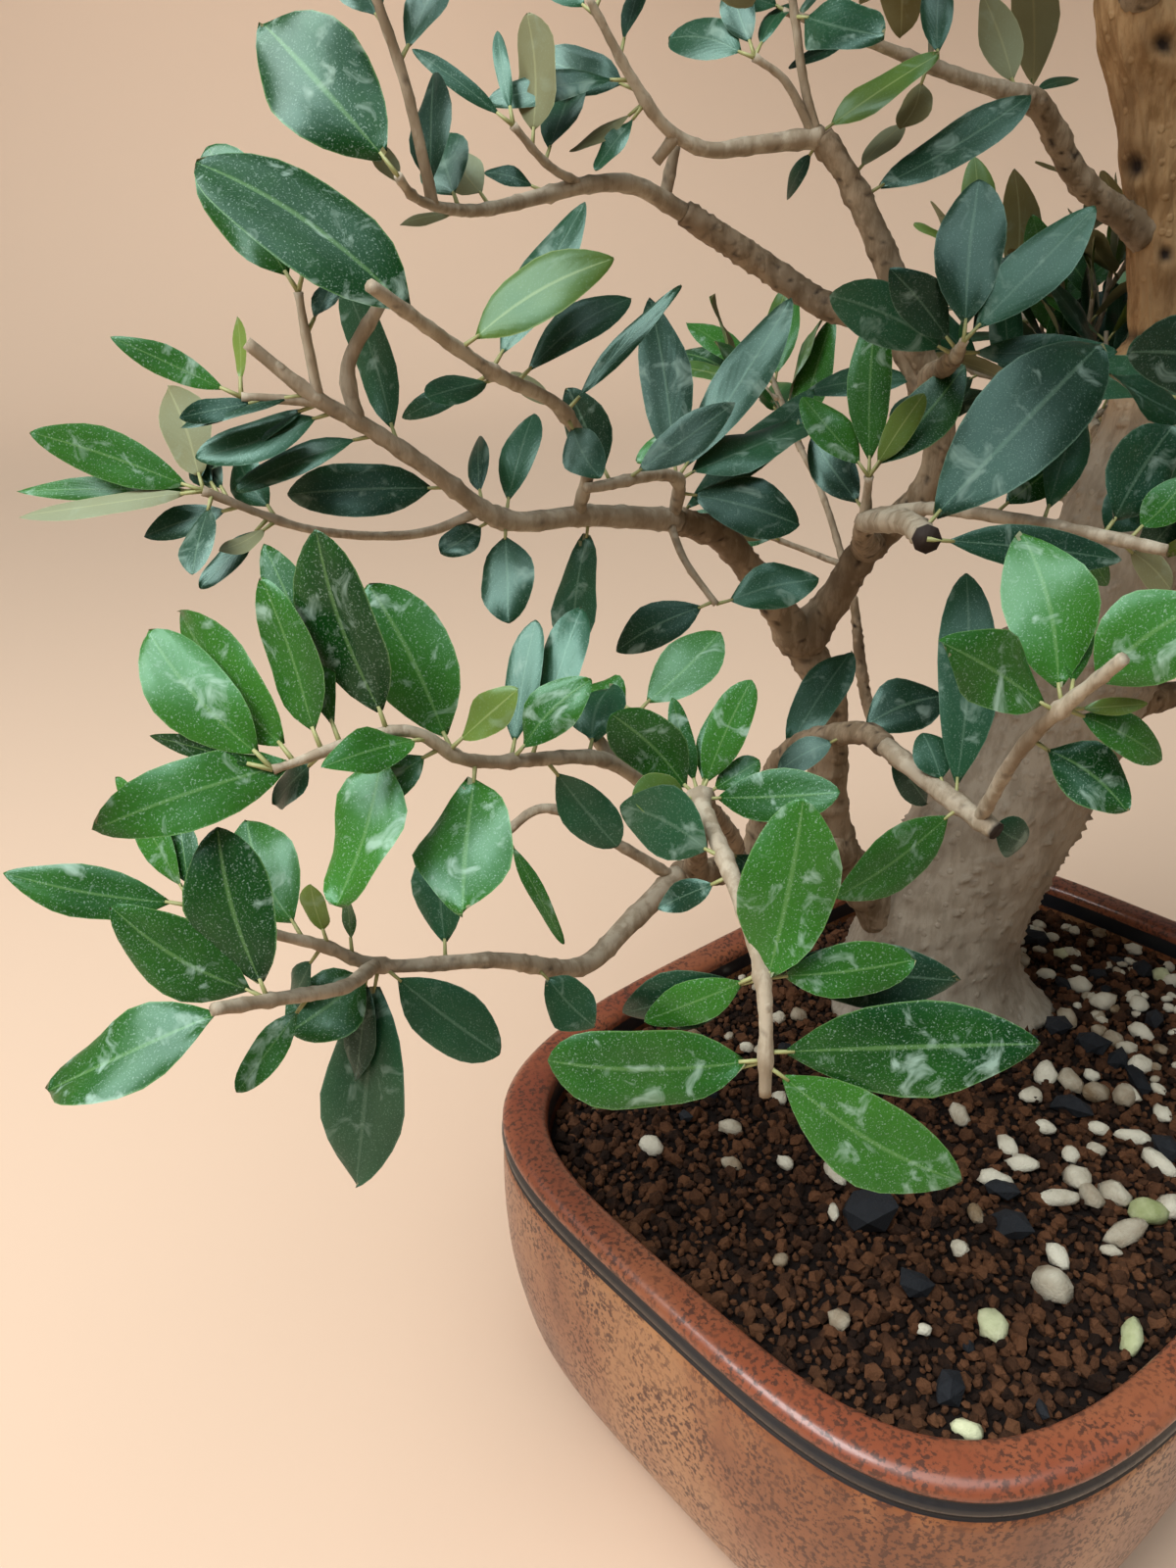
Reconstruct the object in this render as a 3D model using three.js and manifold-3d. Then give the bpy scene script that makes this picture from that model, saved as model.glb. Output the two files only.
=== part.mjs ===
// A potted olive bonsai, in millimetres, +Z up.
// The origin is at the middle of the pot's flat underside, +X along the pot's long side.
// The tree stands in a frame of its own, turned in the pot: there a bearing of 0 points to
// the tree's right, 90 to its back, 180 to its left and 270 to its front, and heights
// start at the soil.

import * as THREE from 'three';
import { mergeVertices } from 'three/addons/utils/BufferGeometryUtils.js';
import Module from 'manifold-3d';

// Pot and soil
const POT_LONG = 315;
const POT_WIDE = 232;
const POT_TALL = 110;
const RIM_WIDE = 13;
const PLAN_POWER = 3.9; // 2 is an ellipse, and a higher power fills out the corners
const PLAN_SIDES = 30;
const WALL_THICK = 9;
const FLOOR_THICK = 11;
const FOOT_INSET = 25;
const LIP_TALL = 9;
const GROOVE_DEEP = 1.6;
const BEND_IN = 12; // the inner wall's foot bends in by this, and the floor starts at CORNER_IN
const CORNER_IN = 22;
const BEND_TALL = 22;
const RIM_CLEAR = 0.6;
const SOIL_DROP = 12;

// The soil's top swells a little in long waves, but lies flat round the trunk's foot
const SWELL = 1.5;
const SWELL_LONG = 17;
const SWELL_WIDE = 14;
const FOOT_CLEAR = 58;
const SOIL_RINGS = [0.28, 0.52, 0.76];
const EDGE_SHARE = 0.9;

// Lumps of charcoal and moss-grown pumice on the soil: middle, length, width and bearing
const LUMPS = [
  [-78, -18, 17, 15, 150], [-48, -50, 14, 11, 65], [-89, -44, 13, 10, 160], [-110, -69, 12, 8, 5],
  [-38, -40, 13, 7, 125], [58, -20, 14, 12, 85], [52, -41, 17, 8, 45], [20, -34, 17, 10, 105],
  [22, -66, 12, 10, 85], [112, 34, 13, 10, 140], [-85, -66, 10, 8, 60], [-58, -93, 12, 6, 20],
  [-10, -75, 13, 10, 150], [-60, -70, 11, 11, 160],
];
const LUMP_TALL = 3.6;
const LUMP_SUNK = 2.4;
const LUMP_TOP = 0.6;

// The tree's place in the pot
const TREE_X = 52;
const TREE_Y = 35;
const TREE_TURN = -40.3;

// Clear gap between two pieces that meet, and the size of the slivers that joining drops
const GAP = 0.3;
const SLIVER = 0.1;

// Trunk: height, sideways lean and diameter, from the flat cut on the soil to the tip.
// The low, thick stock ends in a ring of callus, and the slim grafted stem goes on from it.
const TRUNK = [
  [0, -18, 60], [20, -15, 60], [46, -7, 61], [73, 2, 62], [133, 21, 58], [184, 35, 51], [217, 39, 41],
  [238, 37, 29], [247, 34, 25], [253, 33, 20.5], [293, 24, 19.5], [318, 17, 23],
  [338, 9, 27], [352, 5, 21], [366, 4, 15], [384, 5, 12],
];
const TRUNK_SIDES = 12;
const FLARE_WIDE = 9;
const FLARE_TALL = 15;
const FLARE_SIDE = -20;
const FLARE_ROUND = 1.4;
const ROOT_RIDGES = 5;
const ROOT_RIDGE_DEEP = 3;
const TRUNK_RINGS = [0, 5, 12, 22, 34, 50, 73, 95, 114, 133, 158, 184, 201, 217, 228, 238, 247, 253,
  273, 293, 306, 318, 338, 352, 366, 384];

// Boughs. Each leaves an earlier limb "at" a length along it and runs on in legs of
// bearing, slope and length. Ends are the diameters at its root and its tip.
const BOUGHS = {
  low_bough: {
    from: 'trunk', at: 24, ends: [17, 12], legs: [[193, 42, 42], [195, 60, 34], [215, 80, 56], [195, 60, 26]],
  },
  left_bough: {
    from: 'low_bough', at: 156, ends: [10.5, 8], legs: [[212, 49, 35], [219, 41, 21], [216, 22, 18]],
  },
  centre_bough: {
    from: 'low_bough', at: 156, ends: [11, 6.5],
    legs: [
      [347, 55, 15], [328, 62, 24], [334, 50, 25], [335, 83, 18], [181, 71, 14], [178, 62, 58], [180, 51, 17],
    ],
  },
  upper_left_bough: {
    from: 'centre_bough', at: 92, ends: [8.5, 7],
    legs: [[151, 50, 26], [161, 16, 19], [174, 30, 21], [189, 29, 30]],
  },
  fork_bough: { from: 'centre_bough', at: 40, ends: [8, 5.5], legs: [[251, 17, 26], [257, 33, 10]] },
  centre_front_bough: { from: 'centre_bough', at: 98, ends: [6, 4.5], legs: [[262, 12, 44]] },
  low_left_bough: { from: 'low_bough', at: 66, ends: [12, 9], legs: [[222, 12, 58], [220, 15, 32]] },
  front_bough: {
    from: 'low_left_bough', at: 54, ends: [7.5, 6.5], legs: [[290, 70, 52], [305, 30, 36], [290, 0, 10]],
  },
  near_bough: { from: 'low_left_bough', at: 66, ends: [6.5, 5], legs: [[266, 41, 33], [254, 35, 82]] },
  mid_left_bough: { from: 'low_left_bough', at: 82, ends: [6.5, 5], legs: [[262, 45, 50], [240, 40, 36]] },
  upper_trunk_bough: {
    from: 'trunk', at: 288, ends: [8.5, 6.5], legs: [[194, 28, 38], [205, 42, 25], [210, 21, 9]],
  },
  back_left_bough: { from: 'trunk', at: 66, ends: [6, 3.6], legs: [[142, 42, 62], [165, 75, 55]] },
  front_high_bough: { from: 'trunk', at: 221, ends: [9, 5], legs: [[270, 12, 62]] },
  front_right_bough: { from: 'trunk', at: 165, ends: [11, 6], legs: [[316, 24, 44], [306, 14, 24]] },
  right_low_bough: { from: 'trunk', at: 122, ends: [13, 7], legs: [[354, 18, 50], [346, 10, 26]] },
  right_mid_bough: { from: 'trunk', at: 240, ends: [9, 6], legs: [[12, 26, 46], [4, 14, 24]] },
  back_low_bough: { from: 'trunk', at: 148, ends: [11, 6.5], legs: [[46, 20, 46], [38, 12, 24]] },
  back_mid_bough: { from: 'trunk', at: 200, ends: [9, 5.5], legs: [[86, 24, 44], [78, 14, 22]] },
  back_high_bough: { from: 'trunk', at: 262, ends: [8, 5.5], legs: [[54, 34, 40], [46, 20, 20]] },
  top_right_bough: { from: 'trunk', at: 322, ends: [8, 5.5], legs: [[336, 30, 36], [346, 18, 22]] },
  top_front_bough: { from: 'trunk', at: 350, ends: [9, 5], legs: [[238, 26, 66], [224, 4, 66], [222, -20, 44]] },
  top_left_bough: { from: 'trunk', at: 362, ends: [7.5, 5], legs: [[176, 30, 36], [186, 18, 22]] },
  top_back_bough: { from: 'trunk', at: 345, ends: [7.5, 5], legs: [[112, 38, 36], [122, 24, 20]] },
};
const BOUGH_SIDES = 6;
const BOUGH_STEP = 24;

// Leafy masses. Each has one stem that carries on from a limb's tip, in legs of bearing,
// slope and length. Shoots leave the stem at a length along it, in legs of their own; a
// number gives that many more, spread round the stem by the seeded rule. Leaves stand in
// pairs from "bare" onwards, or at the lengths in "pairs". A "cut" twig ends blunt.
const SPRAYS = {
  left_spray: {
    on: 'left_bough', thick: 7, cut: true, bare: 66,
    legs: [[217, 9, 34], [223, 6, 31], [218, 35, 25], [206, 36, 18], [206, 32, 15], [197, 41, 18]],
    shoots: [
      { at: 72, legs: [[183, -20, 17], [201, 6, 28], [199, 24, 27]], bare: 34 },
      { at: 122, legs: [[233, 82, 15], [174, 85, 8]] },
      { at: 38, legs: [[287, 60, 19], [232, 52, 17], [238, 21, 32], [234, 27, 40]], bare: 44, cut: true },
      { at: 4, legs: [[250, 50, 20], [270, 40, 16]] },
      { at: 66, legs: [[250, -60, 12]] },
      { at: 92, legs: [[160, 30, 30]] },
      { at: 30, legs: [[200, -40, 20]] },
    ],
  },
  low_left_spray: {
    on: 'low_left_bough', thick: 7.5, bare: 80,
    legs: [
      [229, -15, 27], [231, -11, 21], [232, 29, 47], [207, 14, 32], [216, 39, 17], [209, 31, 14], [204, 35, 19],
    ],
    shoots: [
      { at: 2, legs: [[202, 39, 22], [202, 35, 34], [198, -28, 14]], bare: 40, cut: true },
      { at: 128, legs: [[261, 20, 23], [238, 23, 16], [233, 22, 21]], cut: true },
      { at: 100, legs: [[255, -40, 26]] },
      { at: 66, legs: [[190, -30, 22]] },
      { at: 120, legs: [[190, 60, 30]] },
    ],
  },
  mid_left_spray: {
    on: 'mid_left_bough', thick: 4.4, bare: 26,
    legs: [[225, 35, 24], [220, 15, 40], [215, 35, 18], [200, -10, 28]],
    shoots: [
      { at: 60, legs: [[245, 50, 28], [250, 65, 20]] },
      { at: 78, legs: [[215, 70, 28]] },
      { at: 22, legs: [[270, 20, 22]] },
      { at: 48, legs: [[250, -35, 24]] },
      { at: 88, legs: [[240, -20, 22]] },
    ],
  },
  near_spray: {
    on: 'near_bough', thick: 4.4, cut: true, pairs: [10, 50, 66],
    legs: [[281, -14, 29], [290, -45, 23], [282, -76, 27]],
    shoots: [
      { at: 2, legs: [[255, 45, 24]], bare: 6 },
      { at: 22, legs: [[300, 30, 18]] },
      { at: 6, legs: [[200, -20, 22]] },
    ],
  },
  front_spray: {
    on: 'front_bough', thick: 5.6, legs: [[301, -14, 23], [304, -13, 19]], cut: true, pairs: [8, 34],
    shoots: [
      { at: 36, legs: [[269, 54, 39], [287, 49, 36]], cut: true, pairs: [4, 42, 52] },
      { at: 12, legs: [[330, 45, 26]] },
    ],
  },
  fork_spray: {
    on: 'fork_bough', thick: 3.8, legs: [[255, 61, 17]], bare: 6,
    shoots: [
      { at: 1, legs: [[272, 11, 40], [264, 4, 29]], bare: 50, cut: true },
      { at: 3, legs: [[298, 14, 27], [318, 0, 29], [319, -4, 31]], bare: 40, cut: true },
    ],
  },
  centre_front_spray: {
    on: 'centre_front_bough', thick: 3.8, legs: [[258, 20, 34], [270, 70, 14]],
    shoots: [
      { at: 8, legs: [[330, 20, 34]] },
      { at: 14, legs: [[190, 20, 26]] },
      { at: 34, legs: [[300, 40, 26]] },
    ],
  },
  upper_left_spray: {
    on: 'centre_bough', thick: 5.4, bare: 34,
    legs: [[195, -7, 20], [200, -6, 14], [204, 20, 13], [210, 43, 14], [211, 51, 22]],
    shoots: [
      { at: 1, legs: [[176, 74, 46], [190, 70, 26]], bare: 22 },
      { at: 22, legs: [[150, 20, 18]] },
      { at: 50, legs: [[230, 10, 28]] },
      { at: 60, legs: [[160, 40, 26]] },
      { at: 3, legs: [[250, 40, 32]] },
    ],
  },
  far_left_spray: {
    on: 'upper_left_bough', thick: 5.6, bare: 30,
    legs: [[214, 20, 19], [226, -2, 19], [224, -11, 15], [241, -8, 37], [241, 5, 21], [254, 24, 9]],
    shoots: [
      { at: 8, legs: [[205, 80, 30]], bare: 10 },
      { at: 40, legs: [[200, 60, 30]] },
      { at: 72, legs: [[260, 20, 26]] },
      { at: 104, legs: [[215, 68, 40], [205, 60, 30]] },
      { at: 84, legs: [[190, -20, 26]] },
      { at: 110, legs: [[258, 30, 34]] },
    ],
  },
  top_trunk_spray: {
    on: 'upper_trunk_bough', thick: 5, legs: [[192, 11, 19], [191, 15, 32], [190, 14, 24]], bare: 18,
    shoots: [
      { at: 2, legs: [[125, -30, 10], [170, -18, 24]] },
      { at: 24, legs: [[240, 30, 30]] },
      { at: 44, legs: [[150, 50, 26]] },
      { at: 50, legs: [[215, -10, 26]] },
    ],
  },
  top_front_spray: {
    on: 'top_front_bough', thick: 4.4, legs: [[206, -40, 30], [200, 5, 34]], bare: 12, shoots: [
      { at: 12, legs: [[180, 20, 36]] },
      { at: 24, legs: [[250, 20, 30]] },
      { at: 4, legs: [[230, 60, 36]] },
    ],
  },
  front_high_spray: {
    on: 'front_high_bough', thick: 4.4, legs: [[262, 20, 36]], shoots: [
      { at: 8, legs: [[190, 0, 34]], cut: true },
      { at: 18, legs: [[220, 40, 30]] },
      { at: 26, legs: [[320, 30, 40]] },
      { at: 30, legs: [[200, -30, 26]] },
      { at: 14, legs: [[345, 10, 40]] },
    ],
  },
  back_left_spray: {
    on: 'back_left_bough', thick: 3.2, legs: [[146, 66, 44], [158, 56, 44]], bare: 60,
    shoots: [
      { at: 12, legs: [[176, 20, 40]], bare: 26 },
      { at: 58, legs: [[120, 50, 34]], bare: 16 },
    ],
  },
  front_right_spray: { on: 'front_right_bough', thick: 5, legs: [[308, 14, 50], [322, 26, 52]], shoots: 6 },
  right_low_spray: { on: 'right_low_bough', thick: 5.6, legs: [[350, 14, 54], [6, 24, 54]], shoots: 6 },
  right_mid_spray: { on: 'right_mid_bough', thick: 5, legs: [[8, 16, 48], [350, 30, 48]], shoots: 6 },
  back_low_spray: { on: 'back_low_bough', thick: 5.4, legs: [[40, 14, 54], [52, 26, 54]], shoots: 6 },
  back_mid_spray: { on: 'back_mid_bough', thick: 5, legs: [[84, 12, 50], [74, 30, 50]], shoots: 5 },
  back_high_spray: { on: 'back_high_bough', thick: 4.8, legs: [[50, 22, 44], [38, 36, 44]], shoots: 6 },
  top_right_spray: { on: 'top_right_bough', thick: 4.8, legs: [[354, 22, 44], [338, 40, 40]], shoots: 6 },
  top_left_spray: { on: 'top_left_bough', thick: 4.4, legs: [[194, 20, 44], [178, 40, 40]], shoots: 6 },
  top_back_spray: { on: 'top_back_bough', thick: 4.4, legs: [[128, 30, 40], [116, 44, 38]], shoots: 5 },
  crown_spray: { on: 'trunk', thick: 8, legs: [[20, 72, 38], [160, 68, 44]], shoots: 7 },
};
const SPRAY_REACH = 92;
const FIRST_SEED = 11;
const SEED_STEP = 97;
const SHOOT_BARE = 9;
const SHOOT_LONG = 54;
const SHOOT_OUT = 52;
const SHOOT_THICK = 3.4;
const TIP_THICK = 2.2;
const GOLDEN_ANGLE = 137.5;
const TURN_SPREAD = 30;
const OUT_SPREAD = 20;
const SHOOT_LIFT = 0.25;
const FIRST_SHOOT = 0.12; // shoots start at this share of the stem and range over SHOOT_RANGE
const SHOOT_RANGE = 0.8;
const SHORTEST_SHOOT = 0.8;
const SHOOT_SPREAD = 0.4;
const BEND_SHARE = 0.55;
const BEND_TURN = 12;
const BEND_RISE = 14;
const STEM_BARE = 0.4;
const TWIG_STEP = 24;
const TWIG_SIDES = 3;
const CORNER_OUT = 1.15; // a three-sided twig's corners stand this much outside its round
const REACH_POINTS = 12;

// Leaves, in opposite pairs, each pair a quarter turn on from the last
const LEAF_LONG = 45;
const LEAF_LONG_SPREAD = 7;
const LEAF_WIDE = 0.42;
const LEAF_THICK = 0.03;
const LEAF_WIDEST = 0.52;
const LEAF_RIDGE = 0.25;
const LEAF_TRIES = [0, 24, -24, 48, -48];
const YOUNG_LEAF = 0.8;
const PAIR_GAP = 21;
const TIP_GAP = 4;
const LEAF_SPLAY = 56;
const TIP_SPLAY = 34;
const SPLAY_SPREAD = 16;
const ROLL_SPREAD = 0.6;
const YOUNG_FROM = 0.85;
const FACE_TIPWARDS = 0.3; // how much a leaf's upper face looks each way
const FACE_OUT = 0.6;
const FACE_UP = 0.6;
const FACE_FRONT = 0.9;

const SOIL_TOP = POT_TALL - SOIL_DROP;
const wasm = await Module();
wasm.setup();
const UP = new THREE.Vector3(0, 0, 1);
const FRONT = new THREE.Vector3(0, -1, 0);

const material = (color, roughness) => new THREE.MeshStandardMaterial({ color, roughness, metalness: 0 });
const glaze = material(0xa65a38, 0.32);
const earth = material(0x4f2a1c, 0.95);
const bark = material(0x9c8468, 0.85);
const twigBark = material(0xa89274, 0.8);
const foliage = material(0x35553a, 0.5);

// A solid from a closed geometry, for joining and cutting
function toSolid(geometry) {
  const bare = geometry.index ? geometry.toNonIndexed() : geometry.clone();
  bare.deleteAttribute('normal');
  bare.deleteAttribute('uv');
  const merged = mergeVertices(bare, 1e-4);
  const index = merged.index.array;
  const faces = [];
  for (let i = 0; i < index.length; i += 3) {
    const [a, b, c] = index.slice(i, i + 3);
    if (a !== b && b !== c && c !== a) faces.push(a, b, c);
  }
  return new wasm.Manifold(new wasm.Mesh({
    numProp: 3,
    vertProperties: new Float32Array(merged.attributes.position.array),
    triVerts: new Uint32Array(faces),
  }));
}

const largest = (solid) => solid.decompose().sort((a, b) => b.volume() - a.volume())[0];

// A solid's largest body, without its slivers: loose scraps are dropped
const mainBody = (solid) => largest(largest(solid).simplify(SLIVER));

function toGeometry(solid) {
  const mesh = solid.getMesh();
  const geometry = new THREE.BufferGeometry();
  geometry.setAttribute('position', new THREE.BufferAttribute(mesh.vertProperties, 3));
  geometry.setIndex(new THREE.BufferAttribute(mesh.triVerts, 1));
  geometry.computeVertexNormals();
  return geometry;
}

function fromRings(rings) {
  const sides = rings[0].length;
  const positions = rings.flat().flatMap((p) => [p.x, p.y, p.z]);
  const faces = [];
  for (let r = 0; r < rings.length - 1; r += 1) {
    for (let s = 0; s < sides; s += 1) {
      const a = r * sides + s;
      const b = r * sides + ((s + 1) % sides);
      faces.push(a, b, b + sides, a, b + sides, a + sides);
    }
  }
  const last = (rings.length - 1) * sides;
  for (let s = 1; s < sides - 1; s += 1) {
    faces.push(0, s + 1, s);
    faces.push(last, last + s, last + s + 1);
  }
  const geometry = new THREE.BufferGeometry();
  geometry.setAttribute('position', new THREE.Float32BufferAttribute(positions, 3));
  geometry.setIndex(faces);
  return geometry;
}

// A pot-shaped body: a profile of inset from the rim's outer edge and height is turned
// round, and each ring is then pressed from a circle into the pot's rounded oblong.
function potBody(profile) {
  const half = POT_WIDE / 2;
  const points = profile.map(([inset, height]) => new THREE.Vector2(Math.max(half - inset, 0), height));
  const geometry = new THREE.LatheGeometry(points, PLAN_SIDES);
  geometry.rotateX(Math.PI / 2);
  const position = geometry.attributes.position;
  for (let i = 0; i < position.count; i += 1) {
    const radius = Math.hypot(position.getX(i), position.getY(i));
    const angle = Math.atan2(position.getY(i), position.getX(i));
    const squeeze = radius / half;
    const press = (value) => Math.sign(value) * Math.abs(value) ** (2 / PLAN_POWER);
    const cos = Math.abs(Math.cos(angle)) < 1e-6 ? 0 : Math.cos(angle);
    const sin = Math.abs(Math.sin(angle)) < 1e-6 ? 0 : Math.sin(angle);
    const extra = (POT_LONG - POT_WIDE) / 2 * Math.min(1, squeeze * 2);
    position.setXY(i, (radius + extra) * press(cos), radius * press(sin));
  }
  return geometry;
}

function potProfile() {
  const rim = POT_TALL;
  const wallTop = rim - LIP_TALL;
  const outside = [
    [POT_WIDE / 2, 0], [FOOT_INSET, 0], [18, 4], [12.5, 12], [7, 25], [3, 42], [0, 68],
    [0, wallTop - 3], [GROOVE_DEEP, wallTop - 1], [GROOVE_DEEP, wallTop + 1],
  ];
  const lip = [[0, wallTop + 3], [0.4, rim - 2.4], [2.6, rim], [RIM_WIDE - 2, rim - 0.4], [RIM_WIDE, rim - 2]];
  const inside = [
    [RIM_WIDE + RIM_CLEAR, rim - SOIL_DROP], [WALL_THICK + BEND_IN, FLOOR_THICK + BEND_TALL],
    [WALL_THICK + CORNER_IN, FLOOR_THICK], [POT_WIDE / 2, FLOOR_THICK],
  ];
  return [...outside, ...lip, ...inside];
}

// The soil fills the pot. Its top starts level at the wall and goes inwards in rings.
function soilProfile() {
  const edge = RIM_WIDE + RIM_CLEAR + 2 * GAP;
  const inwards = SOIL_RINGS.map((share) => [THREE.MathUtils.lerp(edge, POT_WIDE / 2, share), SOIL_TOP]);
  return [
    [POT_WIDE / 2, FLOOR_THICK + GAP], [WALL_THICK + CORNER_IN + 2 * GAP, FLOOR_THICK + GAP],
    [WALL_THICK + BEND_IN + 2 * GAP, FLOOR_THICK + BEND_TALL], [edge, SOIL_TOP],
    ...inwards, [POT_WIDE / 2, SOIL_TOP],
  ];
}

// How high the soil swells at a place, fading out towards the trunk's foot
function swell(x, y, foot) {
  const away = (Math.hypot(x - foot.x, y - foot.y) - FOOT_CLEAR) / FOOT_CLEAR;
  const fade = THREE.MathUtils.clamp(away, 0, 1);
  return SWELL * fade * (1 + Math.sin(x / SWELL_LONG) * Math.cos(y / SWELL_WIDE));
}

// One lump: a squared block, narrower at its top, sunk into the soil
function lumpGeometry([x, y, long, wide, bearing], foot) {
  const tall = LUMP_TALL + LUMP_SUNK;
  const geometry = new THREE.CylinderGeometry(LUMP_TOP / Math.SQRT2, Math.SQRT1_2, tall, 4);
  geometry.rotateX(Math.PI / 2);
  geometry.rotateZ(Math.PI / 4);
  geometry.scale(long, wide, 1);
  geometry.rotateZ(THREE.MathUtils.degToRad(bearing));
  geometry.translate(x, y, SOIL_TOP + swell(x, y, foot) + tall / 2 - LUMP_SUNK);
  return geometry;
}

function soilSolid(foot) {
  const geometry = potBody(soilProfile());
  const position = geometry.attributes.position;
  const wallX = POT_LONG / 2 - RIM_WIDE;
  const wallY = POT_WIDE / 2 - RIM_WIDE;
  for (let i = 0; i < position.count; i += 1) {
    const [x, y, z] = [position.getX(i), position.getY(i), position.getZ(i)];
    const share = Math.abs(x / wallX) ** PLAN_POWER + Math.abs(y / wallY) ** PLAN_POWER;
    if (z > SOIL_TOP - GAP && share < EDGE_SHARE) position.setZ(i, z + swell(x, y, foot));
  }
  const lumps = LUMPS.map((lump) => toSolid(lumpGeometry(lump, foot)));
  return wasm.Manifold.union([toSolid(geometry), ...lumps]);
}

// A step of the given length, bearing and slope
function leg([bearing, slope, length]) {
  const turn = THREE.MathUtils.degToRad(bearing);
  const rise = THREE.MathUtils.degToRad(slope);
  return new THREE.Vector3(Math.cos(rise) * Math.cos(turn), Math.cos(rise) * Math.sin(turn), Math.sin(rise))
    .multiplyScalar(length);
}

function walk(start, legs) {
  const points = [start.clone()];
  for (const step of legs) points.push(points.at(-1).clone().add(leg(step)));
  return points;
}

// A tapering limb along a smooth line. grow widens it all over, for cutting its neighbours.
function limbGeometry(limb, grow = 0) {
  const steps = Math.max(2, Math.round(limb.curve.getLength() / limb.step));
  const centres = limb.curve.getSpacedPoints(steps);
  const frames = limb.curve.computeFrenetFrames(steps);
  const rings = centres.map((centre, i) => {
    const along = i / steps;
    if (i === 0) centre = centre.clone().addScaledVector(frames.tangents[0], -grow);
    if (i === steps) centre = centre.clone().addScaledVector(frames.tangents[steps], grow);
    return Array.from({ length: limb.sides }, (_, s) => {
      const angle = (s / limb.sides) * Math.PI * 2;
      const radius = limb.radius(along, angle, centre.z) + grow;
      return centre.clone()
        .addScaledVector(frames.normals[i], Math.cos(angle) * radius)
        .addScaledVector(frames.binormals[i], Math.sin(angle) * radius);
    });
  });
  return fromRings(rings);
}

const smooth = (points) => new THREE.CatmullRomCurve3(points, false, 'centripetal');

// The trunk is made in level rings, so that its foot is a flat cut on the soil
function trunkLimb() {
  const curve = smooth(TRUNK.map(([height, lean]) => new THREE.Vector3(lean, 0, height)));
  const widthAt = (height) => {
    const i = Math.max(1, TRUNK.findIndex(([h]) => h >= height));
    const [h0, , d0] = TRUNK[i - 1];
    const [h1, , d1] = TRUNK[i];
    return THREE.MathUtils.lerp(d0, d1, THREE.MathUtils.clamp((height - h0) / (h1 - h0), 0, 1));
  };
  const leanAt = (height) => {
    const i = Math.max(1, TRUNK.findIndex(([h]) => h >= height));
    const [h0, x0] = TRUNK[i - 1];
    const [h1, x1] = TRUNK[i];
    return THREE.MathUtils.lerp(x0, x1, THREE.MathUtils.clamp((height - h0) / (h1 - h0), 0, 1));
  };
  return { curve, widthAt, leanAt, top: TRUNK.at(-1)[0] };
}

function trunkGeometry(trunk, grow = 0) {
  const rings = TRUNK_RINGS.map((height, i) => {
    const end = i === 0 ? -grow : (i === TRUNK_RINGS.length - 1 ? grow : 0);
    const flare = FLARE_WIDE * Math.exp(-height / FLARE_TALL);
    return Array.from({ length: TRUNK_SIDES }, (_, s) => {
      const angle = (s / TRUNK_SIDES) * Math.PI * 2;
      const ridge = ROOT_RIDGE_DEEP * Math.cos(ROOT_RIDGES * angle + 1) * Math.exp(-height / (2 * FLARE_TALL));
      const spread = flare * (FLARE_ROUND + Math.cos(angle - THREE.MathUtils.degToRad(FLARE_SIDE)));
      const radius = trunk.widthAt(height) / 2 + spread + ridge + grow;
      return new THREE.Vector3(
        trunk.leanAt(height) + radius * Math.cos(angle), radius * Math.sin(angle), height + end,
      );
    });
  });
  return fromRings(rings);
}

// Seeded numbers from 0 to 1, the same on every run
function seeded(seed) {
  let state = seed;
  return () => {
    state = (state * 16807) % 2147483647;
    return state / 2147483647;
  };
}

// Two unit vectors square to a direction
function squareTo(direction) {
  const helper = Math.abs(direction.z) < 0.9 ? UP : new THREE.Vector3(1, 0, 0);
  const first = new THREE.Vector3().crossVectors(direction, helper).normalize();
  return [first, new THREE.Vector3().crossVectors(direction, first).normalize()];
}

function twigLimb(points, thick, tip) {
  return {
    curve: smooth(points), sides: TWIG_SIDES, step: TWIG_STEP,
    radius: (along) => THREE.MathUtils.lerp(thick, tip, along) / 2 * CORNER_OUT,
  };
}

// A leaf of six faces: a root point inside the twig, a tip, two side corners and a ridge
function leafGeometry(leaf, grow = 0) {
  const across = new THREE.Vector3().crossVectors(leaf.normal, leaf.along).normalize();
  const at = (along, side, up) => leaf.base.clone()
    .addScaledVector(leaf.along, along).addScaledVector(across, side).addScaledVector(leaf.normal, up);
  const halfWide = leaf.long * LEAF_WIDE / 2 + grow;
  const widest = leaf.long * LEAF_WIDEST;
  const corners = [
    at(0, 0, -grow), at(widest, halfWide, -grow), at(widest, -halfWide, -grow),
    at(leaf.long + grow, 0, 0), at(leaf.long * LEAF_RIDGE, 0, leaf.long * LEAF_THICK + grow),
  ];
  const geometry = new THREE.BufferGeometry();
  geometry.setAttribute('position', new THREE.Float32BufferAttribute(corners.flatMap((p) => [p.x, p.y, p.z]), 3));
  geometry.setIndex([0, 4, 1, 0, 2, 4, 3, 1, 4, 3, 4, 2, 0, 1, 2, 3, 2, 1]);
  return geometry;
}

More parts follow.
